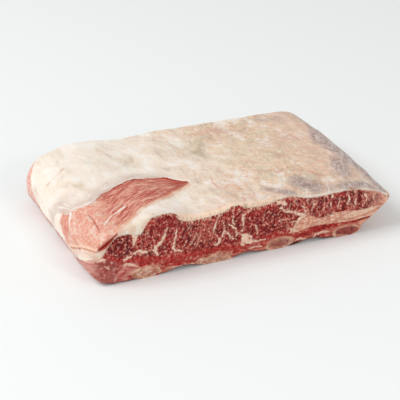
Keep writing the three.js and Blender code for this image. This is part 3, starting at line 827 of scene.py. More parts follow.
# ---------------------------------------------------------------------------------------------------------
# Surface maps: numbers kept on each point for the materials to read.


def write_maps(mesh, **maps):
    """Keeps numbers, or triples of numbers, on the points of a mesh, each list under its map's name."""
    for name, values in maps.items():
        values = np.asarray(values, float)
        kind, field = ("FLOAT_VECTOR", "vector") if values.ndim == 2 else ("FLOAT", "value")
        mesh.attributes.new(name, kind, "POINT").data.foreach_set(field, np.ascontiguousarray(values).ravel())


def wavered(points, name):
    """Points shifted about a little by a texture, so that lines measured at them waver."""
    return points + np.column_stack([texture(name, points, axis) for axis in range(3)])


def map_muscle(mesh, points):
    """Depth behind the cut face, distances to the fat veins and the neighbouring layers, and the stains."""
    x, y, z = points.T
    face = points[:, FACE]
    behind = y - front_edge(x)
    near = behind < NEAR_CUT
    vein = np.full(len(points), FAR)
    vein[near] = away_from(FAT_VEINS, wavered(points[near], "veins")[:, FACE])
    write_maps(mesh, behind_cut=behind, vein=vein, dark_lobe=away_from_outline(DARK_LOBE, face),
               above_ribs=z - muscle_bottom(x, y), below_cap=muscle_top(x, y) - z,
               veiled=stains(VEILED_MEAT, face), crimson=stains(CRIMSON_MEAT, face),
               dusky=stains(DUSKY_MEAT, face))


def map_cap(mesh, points):
    """Distances to the window, the cut face, the back and the wall's borders, and the marks of the top."""
    x, y, z = points.T
    plan = points[:, :2]
    upper, lower, outline = window_distances(plan)
    write_maps(mesh, behind_cut=y - front_edge(x), before_back=back_edge(x) - y, crack=crack_depth(points),
               window=outline, above_window=np.clip((lower - upper) / 6, -1, 1),
               along_window=np.column_stack([plan @ WINDOW_RUN, outline, z]) / 1000,
               membrane=stains(MEMBRANE_STAINS, plan), grey=stains(GREY_STAINS, plan),
               pink=stains(PINK_STAINS, plan), yellow=stains(YELLOW_STAINS, plan),
               scratch=away_from(SCRATCHES, plan), orange_mark=away_from(ORANGE_MARKS, plan),
               white_crease=away_from(WHITE_CREASE, plan), dark_crease=away_from(DARK_CREASE, plan),
               fascia=away_from(FASCIA, points[:, FACE]))
    on_wall = x < LEFT_END + LEFT_WALL["cap"]
    by_lip = on_wall & (y < STRIP_EDGE[0][0])
    border = np.interp(y, *np.array(WALL_MEAT).T)
    write_maps(mesh, under_lip=np.where(by_lip, window_floor(x, y) - z, OFF_WALL),
               above_wall_meat=np.where(on_wall, z - border, OFF_WALL))


def map_window(mesh, points):
    """The run of the bared fibres, distances to the window's edges, and the red strip on the left wall."""
    x, y, z = points.T
    plan = points[:, :2]
    upper, lower, _ = window_distances(plan)
    write_maps(mesh, fibre=np.column_stack([plan @ WINDOW_RUN, across_window(upper, lower), z]) / 1000,
               from_upper=upper, from_lower=lower, tear=away_from(TEARS, plan),
               crease=away_from(CREASE, plan), crack=crack_depth(points), above_edge=z - window_floor(x, y))
    on_wall = x < LEFT_END + LEFT_WALL["strip"]
    seam = away_from([STRIP_EDGE], wavered(points, "strip")[:, WALL])
    edge = [(height, at) for at, height, _ in STRIP_EDGE]
    past_edge, past_back = (y - np.interp(z, *np.array(line).T) for line in (edge, STRIP_BACK))
    write_maps(mesh, strip_edge=smoothstep(-seam, -0.9, 0.2) * on_wall,
               in_strip=np.where(on_wall, past_edge, -OFF_WALL),
               behind_strip=np.where(on_wall, past_back, -OFF_WALL))


def map_seam(mesh, points):
    """The pale lenses of the seam."""
    write_maps(mesh, lens=stains(SEAM_LENSES, points[:, FACE]))


def map_ribs(mesh, points):
    """Depth behind the cut face, distances to the bones and to the lines around them, and to the painted
    shadows of the gaps under the slab.
    """
    x, y, _ = points.T
    face = wavered(points, "rib_lines")[:, FACE]
    by_bone = np.min([away_from_bone(points, spec) for spec in BONES], axis=0)
    write_maps(mesh, behind_cut=y - front_edge(x), by_bone=by_bone, hollow=away_from(RIB_GAP_SHADOWS, face),
               meat_band=away_from(RIB_MEAT_BANDS, face), fat_line=away_from(RIB_FAT_LINES, face))


def map_bone(mesh, points, spec, marrow):
    """How near the sawn end and the spongy core each point lies."""
    off_x, off_z, from_end = bone_offsets(points, spec)
    write_maps(mesh, core=np.clip(1 - np.hypot(off_x, off_z), 0, 1), at_end=smoothstep(-from_end, *BONE_FACE),
               marrow=np.full(len(points), marrow))


def crack_depth(points):
    """How deep in the crack a point lies: 1 well inside it, 0 outside it."""
    start, end, across = crack_frame()
    place = points[:, FACE] - start
    share = np.clip(place @ (end - start) / ((end - start) @ (end - start)), 0, 1)
    off_line = np.abs(place @ across)
    near = smoothstep(crack_half_width(share) - off_line, *CRACK_BORDERS["sides"])
    inside_ends = smoothstep(share * (1 - share), *CRACK_BORDERS["ends"])
    x, y, z = points.T
    depth = y - front_edge(x)
    beneath = smoothstep(top(x, y) - z, *CRACK_BORDERS["top"])
    behind_mouth = smoothstep(depth, *CRACK_BORDERS["mouth"])
    before_bottom = smoothstep(-depth, -CRACK["depth"] - CRACK["fades"], -CRACK["depth"])
    return near * inside_ends * beneath * (behind_mouth * before_bottom)


def bone_offsets(points, spec):
    """Where points lie in a bone's section, as shares of its half width and half height."""
    centre, width, height, _, sway = spec
    x, y, z = points.T
    ends = bone_ends(x, centre)
    off_x = (x - centre - bone_sway(y, ends, sway)) / (width / 2)
    off_z = (z - height / 2 + BONE_SINK) / (height / 2)
    return off_x, off_z, np.minimum(y - ends[0], ends[1] - y)


def away_from_bone(points, spec):
    """About how far points lie from a bone's side."""
    off_x, off_z, _ = bone_offsets(points, spec)
    return (np.hypot(off_x, off_z) - 1) * spec[2] / 2


# ---------------------------------------------------------------------------------------------------------
# Shader building.


class Socket:
    """One output of a shader node; sums and products of sockets and numbers add Math nodes."""

    def __init__(self, shader, output):
        self.shader = shader
        self.output = output

    def maths(self, operation, first, second):
        return self.shader.add("Math", {"operation": operation}, {0: first, 1: second})

    def __add__(self, other):
        return self.maths("ADD", self, other)

    __radd__ = __add__

    def __sub__(self, other):
        return self.maths("SUBTRACT", self, other)

    def __rsub__(self, other):
        return self.maths("SUBTRACT", other, self)

    def __mul__(self, other):
        return self.maths("MULTIPLY", self, other)

    __rmul__ = __mul__

    def __abs__(self):
        return self.maths("ABSOLUTE", self, 0.0)

    def more_than(self, other):
        return self.maths("MAXIMUM", self, other)

    def varied(self, pattern, reach):
        """The value pushed up and down, reach in all, by a pattern from 0 to 1."""
        return self + (pattern - 0.5) * reach

    def ramp(self, low, high, start=0.0, end=1.0):
        """The value carried from low..high to start..end with a soft ease and held outside that range."""
        settings = {"interpolation_type": "SMOOTHSTEP"}
        sockets = {"Value": self, "From Min": low, "From Max": high, "To Min": start, "To Max": end}
        return self.shader.add("MapRange", settings, sockets)


class Shader:
    """A material under construction, painted one colour over another."""

    def __init__(self, name, colours):
        self.material = bpy.data.materials.new(name)
        self.material.use_nodes = True
        self.nodes = self.material.node_tree.nodes
        self.links = self.material.node_tree.links
        self.nodes.clear()
        self.place = self.add("TexCoord", {}, {}, "Object")
        self.colours = colours
        self.colour = None

    def add(self, kind, settings, sockets, output=0):
        """Adds a node: its settings are made first, then its sockets get their values or links."""
        node = self.nodes.new("ShaderNode" + kind)
        for name, value in settings.items():
            setattr(node, name, value)
        for name, value in sockets.items():
            if isinstance(value, Socket):
                self.links.new(value.output, node.inputs[name])
            else:
                node.inputs[name].default_value = value
        return Socket(self, node.outputs[output])

    def axis(self, name):
        return self.add("SeparateXYZ", {}, {0: self.place}, name)

    def map(self, name, output="Fac"):
        return self.add("Attribute", {"attribute_name": name}, {}, output)

    def fitted(self, sizes, turn, place):
        """A place counted in bumps that have the given sizes along x, y and z in millimetres."""
        sockets = {"Vector": place or self.place, "Rotation": tuple(math.radians(angle) for angle in turn),
                   "Scale": tuple(size / 1000 for size in sizes)}
        return self.add("Mapping", {"vector_type": "TEXTURE"}, sockets, "Vector")

    def noise(self, sizes, roughness=0.55, detail=3.0, turn=(0, 0, 0), bend=0.0, place=None):
        """Noise from 0 to 1 whose bumps have the given sizes in millimetres."""
        sockets = {"Vector": self.fitted(sizes, turn, place), "Scale": 1.0, "Detail": detail,
                   "Roughness": roughness, "Distortion": bend}
        return self.add("TexNoise", {}, sockets, "Fac")

    def winding(self, sizes, roughness, **rest):
        """How far noise is from its middle value, which is 0 along thin winding lines."""
        return abs(self.noise(sizes, roughness, **rest) - 0.5)

    def pores(self, sizes, place):
        """Distance to the middles of cells that have the given sizes in millimetres."""
        sockets = {"Vector": self.fitted(sizes, (0, 0, 0), place), "Scale": 1.0}
        return self.add("TexVoronoi", {"feature": "F1"}, sockets, "Distance")

    def stirred(self, size, amount):
        """The place of each point, stirred about by noise of a size, both in millimetres."""
        cloud = self.add("TexNoise", {}, {"Vector": self.place, "Scale": 1000 / size, "Detail": 2.0}, "Color")
        centred = self.add("VectorMath", {"operation": "SUBTRACT"}, {0: cloud, 1: (0.5, 0.5, 0.5)})
        moved = self.add("VectorMath", {"operation": "SCALE"}, {0: centred, "Scale": amount / 1000})
        return self.add("VectorMath", {"operation": "ADD"}, {0: self.place, 1: moved})

    def blend(self, share, *pair):
        """A colour mixed from two, by a share from 0 to 1."""
        first, second = (colour if isinstance(colour, Socket) else (*colour, 1) for colour in pair)
        return self.add("Mix", {"data_type": "RGBA"}, {0: share, 6: first, 7: second}, 2)

    def paint(self, colour, share=None):
        """Lays a colour, or one of the named colours, over the paint so far by a share from 0 to 1."""
        if isinstance(colour, str):
            colour = getattr(self.colours, colour)
        self.colour = colour if share is None else self.blend(share, self.colour, colour)

    def finish(self, roughness, bump, bump_depth, coat, fixed):
        """Makes one wet surface of the paint; bump is a height from 0 to 1, bump_depth its depth in mm."""
        normal = self.add("Bump", {}, {"Height": bump, "Distance": bump_depth / 1000, "Strength": 1.0})
        linked = {"Base Color": self.colour, "Roughness": roughness, "Coat Weight": coat, "Normal": normal}
        surface = self.add("BsdfPrincipled", {}, linked | fixed)
        ending = self.nodes.new("ShaderNodeOutputMaterial")
        self.links.new(surface.output, ending.inputs["Surface"])
        return self.material


def linear(red, green, blue):
    """A colour given as 0 to 255 on a screen, in the linear numbers that shaders take."""
    shares = [value / 255 for value in (red, green, blue)]
    return tuple(s / 12.92 if s <= 0.04045 else ((s + 0.055) / 1.055) ** 2.4 for s in shares)


FLESH = {"Subsurface Weight": 0.06, "Subsurface Radius": (1.0, 0.3, 0.2), "Subsurface Scale": 0.0015,
         "Specular IOR Level": 0.12, "Coat Roughness": 0.12, "Coat IOR": 1.35}
FATTY = {"Subsurface Weight": 0.2, "Subsurface Radius": (1.0, 0.7, 0.5), "Subsurface Scale": 0.0025,
         "Specular IOR Level": 0.35, "Coat Roughness": 0.3, "Coat IOR": 1.35}


def cap_fat_material(colours):
    """The cap's fat; patterns that several of its parts share are kept on the shader."""
    s = Shader("Cap fat", colours)
    s.across, s.upright = s.axis("X"), s.axis("Z")
    s.clouds = s.noise((40, 60, 30), 0.55)
    s.mottle = s.noise((13, 24, 13), 0.45, bend=0.3)
    s.patches = s.noise((7, 13, 7), 0.5, bend=0.3)
    s.fine = s.noise((3.0, 5.0, 3.0), 0.65)
    s.streaks = s.noise((16, 8, 6), 0.6, turn=(0, 0, -24), bend=1.2)
    s.behind = s.map("behind_cut")
    paint_mottled_fat(s)
    paint_edge_skin(s)
    paint_around_window(s)
    paint_cut_edge(s)
    paint_left_wall(s)
    height = (0.2 + 0.36 * s.to_right) * (s.mottle + 0.6 * s.patches) + 0.1 * s.fine * (0.3 + s.to_right)
    height = height - 0.12 * s.crumple * (0.4 + s.to_right)
    height = height + s.sheen * s.wrinkles * 0.5 + s.skin * s.hatch_b * 0.3 + s.rim * s.comb * 0.5
    gloss = (0.6 - 0.16 * s.mottle - 0.12 * s.skin) + 0.1 * s.fine
    coat = 0.08 + 0.14 * s.clouds.ramp(0.4, 0.65) + s.skin * 0.08
    return s.finish(gloss, height, 1.3, coat, FATTY)


def paint_mottled_fat(s):
    """Cream fat that turns beige, yellow and pink towards the right, with thin winding threads."""
    wisps = s.winding((22, 32, 14), 0.6, turn=(0, 0, 20), bend=1.6)
    threads = s.winding((13, 20, 9), 0.6, bend=1.2)
    s.to_right = s.across.varied(s.clouds, 0.12).ramp(-0.07, 0.07)
    s.paint("cream_fat")
    s.paint("beige_fat", s.to_right)
    s.paint("yellow_fat", s.mottle.ramp(0.5, 0.66) * (0.2 + 0.4 * s.to_right))
    s.paint("yellow_fat", s.patches.ramp(0.53, 0.62) * (0.2 + 0.6 * s.to_right))
    s.paint("pink_fat", s.patches.ramp(0.47, 0.37) * s.to_right * 0.4)
    s.paint("white_fat", s.mottle.ramp(0.48, 0.36) * 0.65)
    s.paint("pink_fat", s.streaks.ramp(0.5, 0.64) * s.to_right * 0.5)
    wisp = wisps.ramp(0.03, 0.004) * s.to_right * s.patches.ramp(0.4, 0.56) * s.streaks.ramp(0.35, 0.6)
    s.paint("orange_fat", wisp * 0.75)
    thread = threads.ramp(0.03, 0.004) * s.to_right * s.clouds.ramp(0.4, 0.55)
    s.paint("pink_fat", thread * 0.6)
    s.paint("yellow_fat", s.map("yellow") * (0.4 + 0.6 * s.patches.ramp(0.4, 0.6)))
    s.paint("pink_fat", s.map("pink") * (0.25 + 0.6 * s.streaks.ramp(0.4, 0.62)))
    s.paint("grey_fat", s.map("grey") * (0.35 + 0.55 * s.patches.ramp(0.38, 0.6)))
    s.paint("grey_fat", s.fine.ramp(0.53, 0.66) * (0.08 + 0.2 * s.to_right))
    s.paint("white_fat", s.fine.ramp(0.48, 0.36) * 0.25)
    s.crumple = s.winding((15, 26, 12), 0.6, bend=0.9).ramp(0.07, 0.0)
    s.paint("grey_fat", s.crumple * s.patches.ramp(0.42, 0.55) * 0.25 * s.to_right)


def paint_edge_skin(s):
    """The purple grey skin along the right edge, hatched in two directions."""
    blush = s.across.varied(s.mottle, 0.05).ramp(0.07, 0.125)
    s.paint("blush_skin", blush * 0.45)
    hatch_a = s.noise((15, 4.0, 8), 0.65, detail=4, turn=(0, 0, 66), bend=0.8)
    s.hatch_b = s.noise((18, 4.4, 8), 0.65, detail=4, turn=(0, 0, -10), bend=0.8)
    s.skin = s.map("membrane").varied(s.mottle, 1.2).varied(s.patches, 0.9).ramp(0.1, 0.8)
    s.paint("membrane", s.skin * (s.hatch_b.ramp(0.3, 0.6) * 0.5 + 0.35))
    s.paint("silver_skin", s.skin * hatch_a.ramp(0.52, 0.6) * 0.6)
    s.paint("skin_brown", s.skin * s.hatch_b.ramp(0.47, 0.38) * 0.65)
    lines_a = s.winding((26, 6, 9), 0.6, turn=(0, 0, 66)).ramp(0.035, 0.006)
    lines_b = s.winding((30, 6, 9), 0.6, turn=(0, 0, -10)).ramp(0.035, 0.006)
    s.paint("silver_skin", s.skin * lines_a.more_than(lines_b) * 0.4)
    crease = s.map("dark_crease").varied(s.fine, 3).ramp(1.4, -0.4)
    s.paint("membrane_dark", crease * 0.6)


def paint_around_window(s):
    """The silvery wrinkles above the window, its orange lower edge, and the marks on the fat."""
    ring = s.map("window")
    above = s.map("above_window")
    run = s.map("along_window", "Vector")
    s.wrinkles = s.noise((16, 2.6, 8), 0.6, bend=0.5, place=run)
    s.sheen = ring.ramp(20, 3) * above.ramp(-0.3, 0.6) * s.across.ramp(-0.03, -0.05)
    s.paint("sheath_grey", s.sheen * 0.7)
    s.paint("white_fat", s.sheen * s.wrinkles.ramp(0.52, 0.62) * 0.6)
    s.paint("pink_fat", s.sheen * s.wrinkles.ramp(0.47, 0.37) * 0.4)
    below = ring.ramp(7, 0.3) * above.ramp(0.1, -0.4) * s.across.ramp(-0.14, -0.125)
    s.paint("orange_fat", below * (0.5 + 0.5 * s.patches.ramp(0.4, 0.6)))
    red = s.map("scratch").varied(s.patches, 5).ramp(1.6, -0.6) * 0.55
    s.paint("blood_mark", red)
    orange = s.map("orange_mark").varied(s.patches, 7).ramp(1.4, -0.8) * 0.5
    s.paint("orange_fat", orange)
    white = s.map("white_crease").varied(s.fine, 2).ramp(1.0, -0.3)
    s.paint("white_fat", white * 0.3)


def paint_cut_edge(s):
    """The rim of fat along the cut face, from its hanging left part to the tip, with painted glints on its
    combed upper edge and a painted highlight at the tip.
    """
    s.rim = s.behind.ramp(4.5, 0.6)
    s.comb = s.noise((2.2, 6, 9), 0.65, bend=0.3)
    grainy = 0.4 + 0.6 * s.comb.ramp(0.38, 0.58)
    peach = s.behind.ramp(8, 1.5) * s.across.ramp(-0.075, -0.055) * grainy
    s.paint("peach_fat", peach * s.across.ramp(0.04, 0.01))
    rust = s.behind.ramp(5.5, 1) * s.across.ramp(-0.072, -0.058) * s.across.ramp(-0.03, -0.045)
    s.paint("orange_fat", rust * s.fine.ramp(0.48, 0.6) * 0.6)
    # Along the top of the cut edge: brown streaks of the fat in the comb's grooves, and ivory teeth on its
    # ridges that are painted glints.
    rind_and_glints = s.behind.ramp(2.6, 0.6) * s.across.ramp(-0.068, -0.05) * s.across.ramp(0.035, 0.0)
    s.paint("rind_brown", rind_and_glints * s.comb.ramp(0.46, 0.4) * 0.5)
    s.paint("ivory_fat", rind_and_glints * s.comb.ramp(0.53, 0.59) * 0.6)
    s.paint("orange_fat", s.rim * s.across.ramp(-0.02, 0.03) * s.comb.ramp(0.52, 0.62) * 0.4)
    s.paint("ivory_fat", s.rim * s.across.ramp(-0.05, -0.09) * 0.6)
    hanging = s.rim * s.across.ramp(-0.055, -0.07)
    s.paint("fringe_fat", hanging * s.patches.ramp(0.47, 0.56) * 0.6)
    s.paint("yellow_fat", hanging * s.comb.ramp(0.47, 0.4) * 0.35)
    s.paint("white_fat", s.rim * s.across.ramp(0.035, 0.06) * 0.5)
    # The pale tip: partly the fat's own ivory, partly a painted highlight.
    tip = s.behind.ramp(7, 2) * s.across.ramp(0.134, 0.14)
    s.paint("ivory_fat", tip * (0.45 + 0.5 * s.fine.ramp(0.42, 0.55)))


def paint_left_wall(s):
    """The left wall with the window's lip and low meat, the sheath by the crack, and the back's top."""
    lip = s.map("under_lip").varied(s.fine, 2)
    s.paint("lip_orange", lip.ramp(2.2, 1.0) * 0.85)
    under_lip = lip.ramp(9, 5) * lip.ramp(1.2, 2.4)
    s.paint("sheath_pale", under_lip * (0.35 + 0.6 * s.streaks.ramp(0.56, 0.44)))
    s.paint("wall_pink", under_lip * s.fine.ramp(0.48, 0.38) * 0.5)
    band = s.map("fascia").varied(s.fine, 1.6).ramp(0.8, -0.4) * s.behind.ramp(6, 3)
    s.paint("sheath_pale", band * 0.85)
    low_wall = s.map("above_wall_meat").varied(s.patches, 9).ramp(0.5, -2.5)
    s.paint("wall_pink", low_wall * (0.55 + 0.4 * s.streaks.ramp(0.4, 0.6)))
    s.paint("surface_red", low_wall * s.fine.ramp(0.5, 0.4) * 0.4)
    back = s.map("before_back").ramp(4, 1) * s.upright.ramp(0.048, 0.04)
    s.paint("peach_fat", back * 0.4)
    s.paint("dark_cleft", s.map("crack") * 0.9)


def surface_muscle_material(colours):
    """Salmon pink fibres along the window, pale at the left corner, with the red strip on the left wall."""
    s = Shader("Bared surface muscle", colours)
    run = s.map("fibre", "Vector")
    across = s.axis("X")
    bundles = s.noise((34, 5.5, 20), 0.6, bend=0.4, place=run)
    strands = s.noise((22, 3.0, 12), 0.68, bend=0.3, place=run)
    threads = s.noise((10, 1.4, 8), 0.7, bend=0.2, place=run)
    clouds = s.noise((18, 14, 14), 0.55, bend=0.5)
    speckle = s.noise((2.6, 2.2, 2.4), 0.7)
    s.paint("surface_red")
    s.paint("surface_pink", bundles.ramp(0.28, 0.66))
    to_tip = across.varied(clouds, 0.04).ramp(-0.085, -0.03)
    s.paint("surface_deep", to_tip * 0.75)
    s.paint("surface_deep", strands.ramp(0.47, 0.36) * 0.4)
    s.paint("surface_thread", strands.ramp(0.53, 0.64) * 0.45)
    s.paint("surface_deep", threads.ramp(0.48, 0.43) * 0.6)
    s.paint("surface_thread", threads.ramp(0.54, 0.58) * 0.8)
    pale = across.varied(clouds, 0.03).varied(strands, 0.015).ramp(-0.108, -0.128)
    s.paint("pale_corner", pale * 0.8)
    dapple = s.noise((6, 9, 7), 0.6, bend=0.8)
    s.paint("surface_pink", pale * dapple.ramp(0.52, 0.59) * 0.8)
    s.paint("sheath_pale", pale * dapple.ramp(0.48, 0.41) * 0.7)
    s.paint("cream_fat", pale * speckle.ramp(0.5, 0.64) * 0.5)
    edge = s.map("from_lower").ramp(5.0, 0.2) * pale.ramp(1, 0.4)
    s.paint("orange_fat", edge * 0.65)
    upper = s.map("from_upper").varied(speckle, 3).ramp(2.0, 0.2) * pale.ramp(0.8, 0.2)
    s.paint("surface_deep", upper * 0.6)
    torn = s.map("tear").varied(threads, 2.2).ramp(0.5, -0.4)
    s.paint("white_fat", torn * 0.75)
    fold = s.map("crease").varied(speckle, 1.2).ramp(1.0, -0.2)
    s.paint("surface_deep", fold * 0.6)
    lip = s.map("above_edge").varied(speckle, 3).ramp(3.4, 0.6) * pale
    s.paint("peach_fat", lip * 0.7)
    upright_streaks = s.noise((3, 4, 16), 0.65, bend=0.4)
    strip = s.map("in_strip").ramp(0.5, 2.5) * (0.4 + 0.6 * upright_streaks.ramp(0.4, 0.56))
    s.paint("strip_red", strip)
    behind = s.map("behind_strip").varied(upright_streaks, 18).ramp(-3, 3)
    s.paint("cream_fat", behind)
    s.paint("white_fat", s.map("strip_edge") * 0.85)
    s.paint("dark_cleft", s.map("crack") * 0.9)
    height = 0.5 * strands + 0.4 * threads + 0.3 * bundles + 0.15 * speckle
    gloss = 0.5 - 0.14 * strands.ramp(0.35, 0.65) + 0.06 * speckle
    coat = 0.1 + 0.2 * clouds.ramp(0.4, 0.65)
    return s.finish(gloss, height, 1.4, coat, FLESH)


def main_muscle_material(colours):
    """Dark red bundles with fine marbling and stains, and cream specks that are partly fat and partly painted
    glints; the fat of the veins shows at the cut face.
    """
    s = Shader("Marbled main muscle", colours)
    across = s.axis("X")
    stirred = s.stirred(8, 3.2)
    clouds = s.noise((22, 24, 14), 0.55, bend=0.4)
    bundle = s.noise((5, 15, 9), 0.6, turn=(0, 26, 0), place=stirred)
    fleck = s.noise((3.2, 9, 4.6), 0.7, turn=(0, 24, 0), place=stirred)
    speck = s.noise((2.4, 6, 2.6), 0.7, detail=2)
    curls = s.winding((7, 22, 11), 0.5, detail=2, turn=(0, 20, 0), place=stirred)
    fine = s.noise((1.0, 3, 1.0), 0.6, detail=2)
    s.paint("meat_dark")
    s.paint("meat_red", clouds.ramp(0.38, 0.62))
    s.paint("meat_shadow", bundle.ramp(0.46, 0.34) * 0.6)
    wine = s.map("dark_lobe").ramp(0.6, -0.8)
    s.paint("meat_wine", wine * 0.35)
    s.paint("meat_crimson", s.map("crimson") * 0.6)
    s.paint("meat_shadow", s.map("dusky") * 0.6)
    fatty = 0.6 + 0.4 * bundle.ramp(0.38, 0.62)
    s.paint("marbling_pink", fleck.ramp(0.52, 0.56) * fatty * 0.6)
    s.paint("marbling_pink", s.map("veiled") * (0.35 + 0.6 * fleck.ramp(0.42, 0.55)))
    lean = 1 - 0.4 * s.map("crimson")
    # Cream specks: partly fine fat, partly painted glints of the wet surface.
    s.paint("marbling_cream", speck.ramp(0.555, 0.6) * fatty * lean)
    s.paint("meat_shadow", fleck.ramp(0.46, 0.41) * 0.8)
    s.paint("meat_shadow", speck.ramp(0.44, 0.4) * 0.5)
    low = s.map("above_ribs").varied(bundle, 6).ramp(6.5, 1.2) * across.ramp(0.05, 0.03)
    s.paint("meat_bright", low * 0.7)
    s.paint("marbling_pink", low * speck.ramp(0.52, 0.57) * 0.75)
    s.paint("meat_dark", low * fleck.ramp(0.48, 0.43) * 0.55)
    at_cut = s.map("behind_cut").ramp(2.6, 1.6)
    ragged = s.map("vein").varied(speck, 3.6).varied(fleck, 3)
    s.paint("marbling_pink", ragged.ramp(1.6, 0.1) * at_cut * 0.4)
    thread = curls.varied(fine, 0.03).ramp(0.03, 0.006) * clouds.ramp(0.36, 0.6)
    s.paint("marbling_cream", thread * (0.35 + 0.35 * across.ramp(0.0, 0.06)))
    fat = ragged.ramp(0.35, -0.35) * at_cut
    s.paint("vein_fat", fat * 0.95)
    s.paint("seam_tan", fat * fleck.ramp(0.5, 0.57) * 0.55)
    comb = s.noise((1.6, 7, 12), 0.6, bend=0.3)
    fringe = 15 * across.ramp(-0.066, -0.05) * across.ramp(0.05, 0.02) + 5
    rim = (s.map("below_cap") - (comb - 0.5) * fringe).ramp(1.2, -0.4)
    s.paint("fringe_fat", rim * 0.8)
    end = across.varied(bundle, 0.03).ramp(0.112, 0.14)
    s.paint("marbling_cream", end * (0.3 + 0.5 * fleck.ramp(0.42, 0.56)))
    height = 0.45 * bundle + 0.5 * fleck + 0.25 * fine + 0.3 * fat
    gloss = 0.45 + 0.16 * fleck.ramp(0.5, 0.65) - 0.1 * clouds
    coat = 0.2 * clouds.ramp(0.3, 0.6) + 0.08
    return s.finish(gloss, height, 1.6, coat, FLESH)


def seam_fat_material(colours):
    """Peach fat with pink streaks and pale lenses."""
    s = Shader("Seam fat", colours)
    streaks = s.noise((14, 12, 2.6), 0.6, turn=(0, -7, 0), bend=0.6)
    grains = s.noise((2.2, 5, 1.9), 0.65)
    clouds = s.noise((14, 16, 9), 0.55)
    s.paint("seam_peach")
    s.paint("seam_tan", clouds.ramp(0.35, 0.65))
    s.paint("seam_pink", streaks.ramp(0.5, 0.66) * 0.65)
    s.paint("cream_fat", streaks.ramp(0.46, 0.32) * 0.5)
    lens = s.map("lens").varied(grains, 0.3)
    s.paint("seam_cream", lens.ramp(0.3, 0.55) * 0.6)
    s.paint("seam_pink", lens.ramp(0.12, 0.26) * lens.ramp(0.5, 0.36) * 0.6)
    s.paint("seam_pink", grains.ramp(0.54, 0.62) * 0.6)
    s.paint("cream_fat", grains.ramp(0.46, 0.38) * 0.6)
    height = 0.5 * streaks + 0.5 * grains
    gloss = 0.55 - 0.12 * grains
    coat = 0.08 + 0.12 * clouds
    return s.finish(gloss, height, 1.2, coat, FATTY)


def rib_meat_material(colours):
    """Red meat, purple at the left corner, with pale lines, painted shadows of the gaps under the slab, and a
    membrane underneath with painted shade near the cut face.
    """
    s = Shader("Rib meat and membrane", colours)
    across, upright = s.axis("X"), s.axis("Z")
    facing = s.add("SeparateXYZ", {}, {0: s.add("NewGeometry", {}, {}, "Normal")}, "Z")
    clouds = s.noise((13, 18, 8), 0.6, bend=0.6)
    grain = s.noise((11, 15, 3.6), 0.65, turn=(0, -10, 0), bend=0.8)
    fleck = s.noise((3.4, 8, 2.6), 0.68)
    spots = s.noise((4.5, 9, 4), 0.65, place=s.stirred(9, 3))
    s.paint("rib_red")
    s.paint("rib_pink", clouds.ramp(0.42, 0.58))
    s.paint("meat_bright", grain.ramp(0.47, 0.36) * 0.7)
    s.paint("seam_pink", grain.ramp(0.53, 0.62) * 0.45)
    s.paint("marbling_cream", fleck.ramp(0.56, 0.61) * 0.65)
    s.paint("meat_dark", fleck.ramp(0.47, 0.41) * 0.7)
    purple = (across - 0.5 * upright).varied(clouds, 0.03).ramp(-0.121, -0.133)
    s.paint("rib_purple", purple * 0.75)
    s.paint("rib_wine", purple * spots.ramp(0.5, 0.42) * 0.6)
    s.paint("sheath_pale", purple * spots.ramp(0.54, 0.62) * 0.6)
    blushing = across.ramp(-0.1, -0.106) * upright.ramp(0.021, 0.015) * (1 - 0.7 * purple)
    s.paint("wall_pink", blushing * (0.1 + 0.4 * grain.ramp(0.42, 0.58)))
    at_cut = s.map("behind_cut").ramp(2.6, 1.6)
    pale = across.ramp(0.015, 0.045) * upright.ramp(0.0135, 0.0105)
    s.paint("seam_pink", pale * at_cut * (0.25 + 0.5 * grain.ramp(0.42, 0.6)))
    hem = upright.varied(fleck, 0.004).ramp(0.0058, 0.0036) * across.ramp(-0.09, -0.075)
    s.paint("seam_peach", hem * at_cut * across.ramp(0.05, 0.03) * 0.35)
    ragged = upright.varied(fleck, 0.006).ramp(0.0155, 0.0135)
    s.paint("seam_peach", at_cut * across.ramp(0.111, 0.116) * ragged * 0.75)
    band = s.map("meat_band").varied(fleck, 2.6).ramp(0.7, -0.5)
    s.paint("meat_red", band * at_cut * 0.9)
    s.paint("meat_shadow", band * at_cut * fleck.ramp(0.49, 0.43) * 0.7)
    s.paint("rib_pink", band * at_cut * fleck.ramp(0.53, 0.58) * 0.7)
    line = s.map("fat_line").varied(fleck, 3.6).ramp(0.4, -0.5)
    s.paint("vein_fat", line * at_cut * 0.75)
    halo = s.map("by_bone").varied(fleck, 3.4).ramp(1.1, 0.3) * upright.ramp(0.006, 0.009)
    s.paint("seam_peach", halo * at_cut * 0.4)
    # Painted shadow: the gaps under the slab, drawn dark on the cut face.
    hollow = s.map("hollow").varied(fleck, 2).ramp(0.5, -0.3)
    s.paint("meat_shadow", hollow * at_cut * 0.9)
    tail = at_cut * across.ramp(0.124, 0.13) * upright.varied(fleck, 0.005).ramp(0.0175, 0.0195)
    s.paint("seam_peach", tail * 0.8)
    under = facing.ramp(-0.35, -0.75)
    sinew = s.noise((3, 30, 6), 0.6, turn=(0, 0, 4), bend=0.5)
    skin = s.blend(sinew.ramp(0.4, 0.62), colours.rib_purple, colours.silver_skin)
    skin = s.blend(clouds.ramp(0.55, 0.7) * 0.5, skin, colours.seam_pink)
    s.paint(skin, under * 0.75)
    wall = across.ramp(-0.134, -0.145) * (1 - under)
    s.paint("wall_pink", wall * (0.3 + 0.5 * grain.ramp(0.4, 0.6)))
    shade = facing.ramp(-0.1, -0.6) * s.map("behind_cut").ramp(9, 4) * across.ramp(-0.14, -0.125)
    s.paint("meat_shadow", shade * 0.85)
    height = 0.5 * grain + 0.45 * fleck + 0.3 * under * sinew
    gloss = 0.42 + 0.1 * fleck
    coat = 0.1 + 0.18 * clouds.ramp(0.35, 0.6)
    return s.finish(gloss, height, 1.5, coat, FLESH)


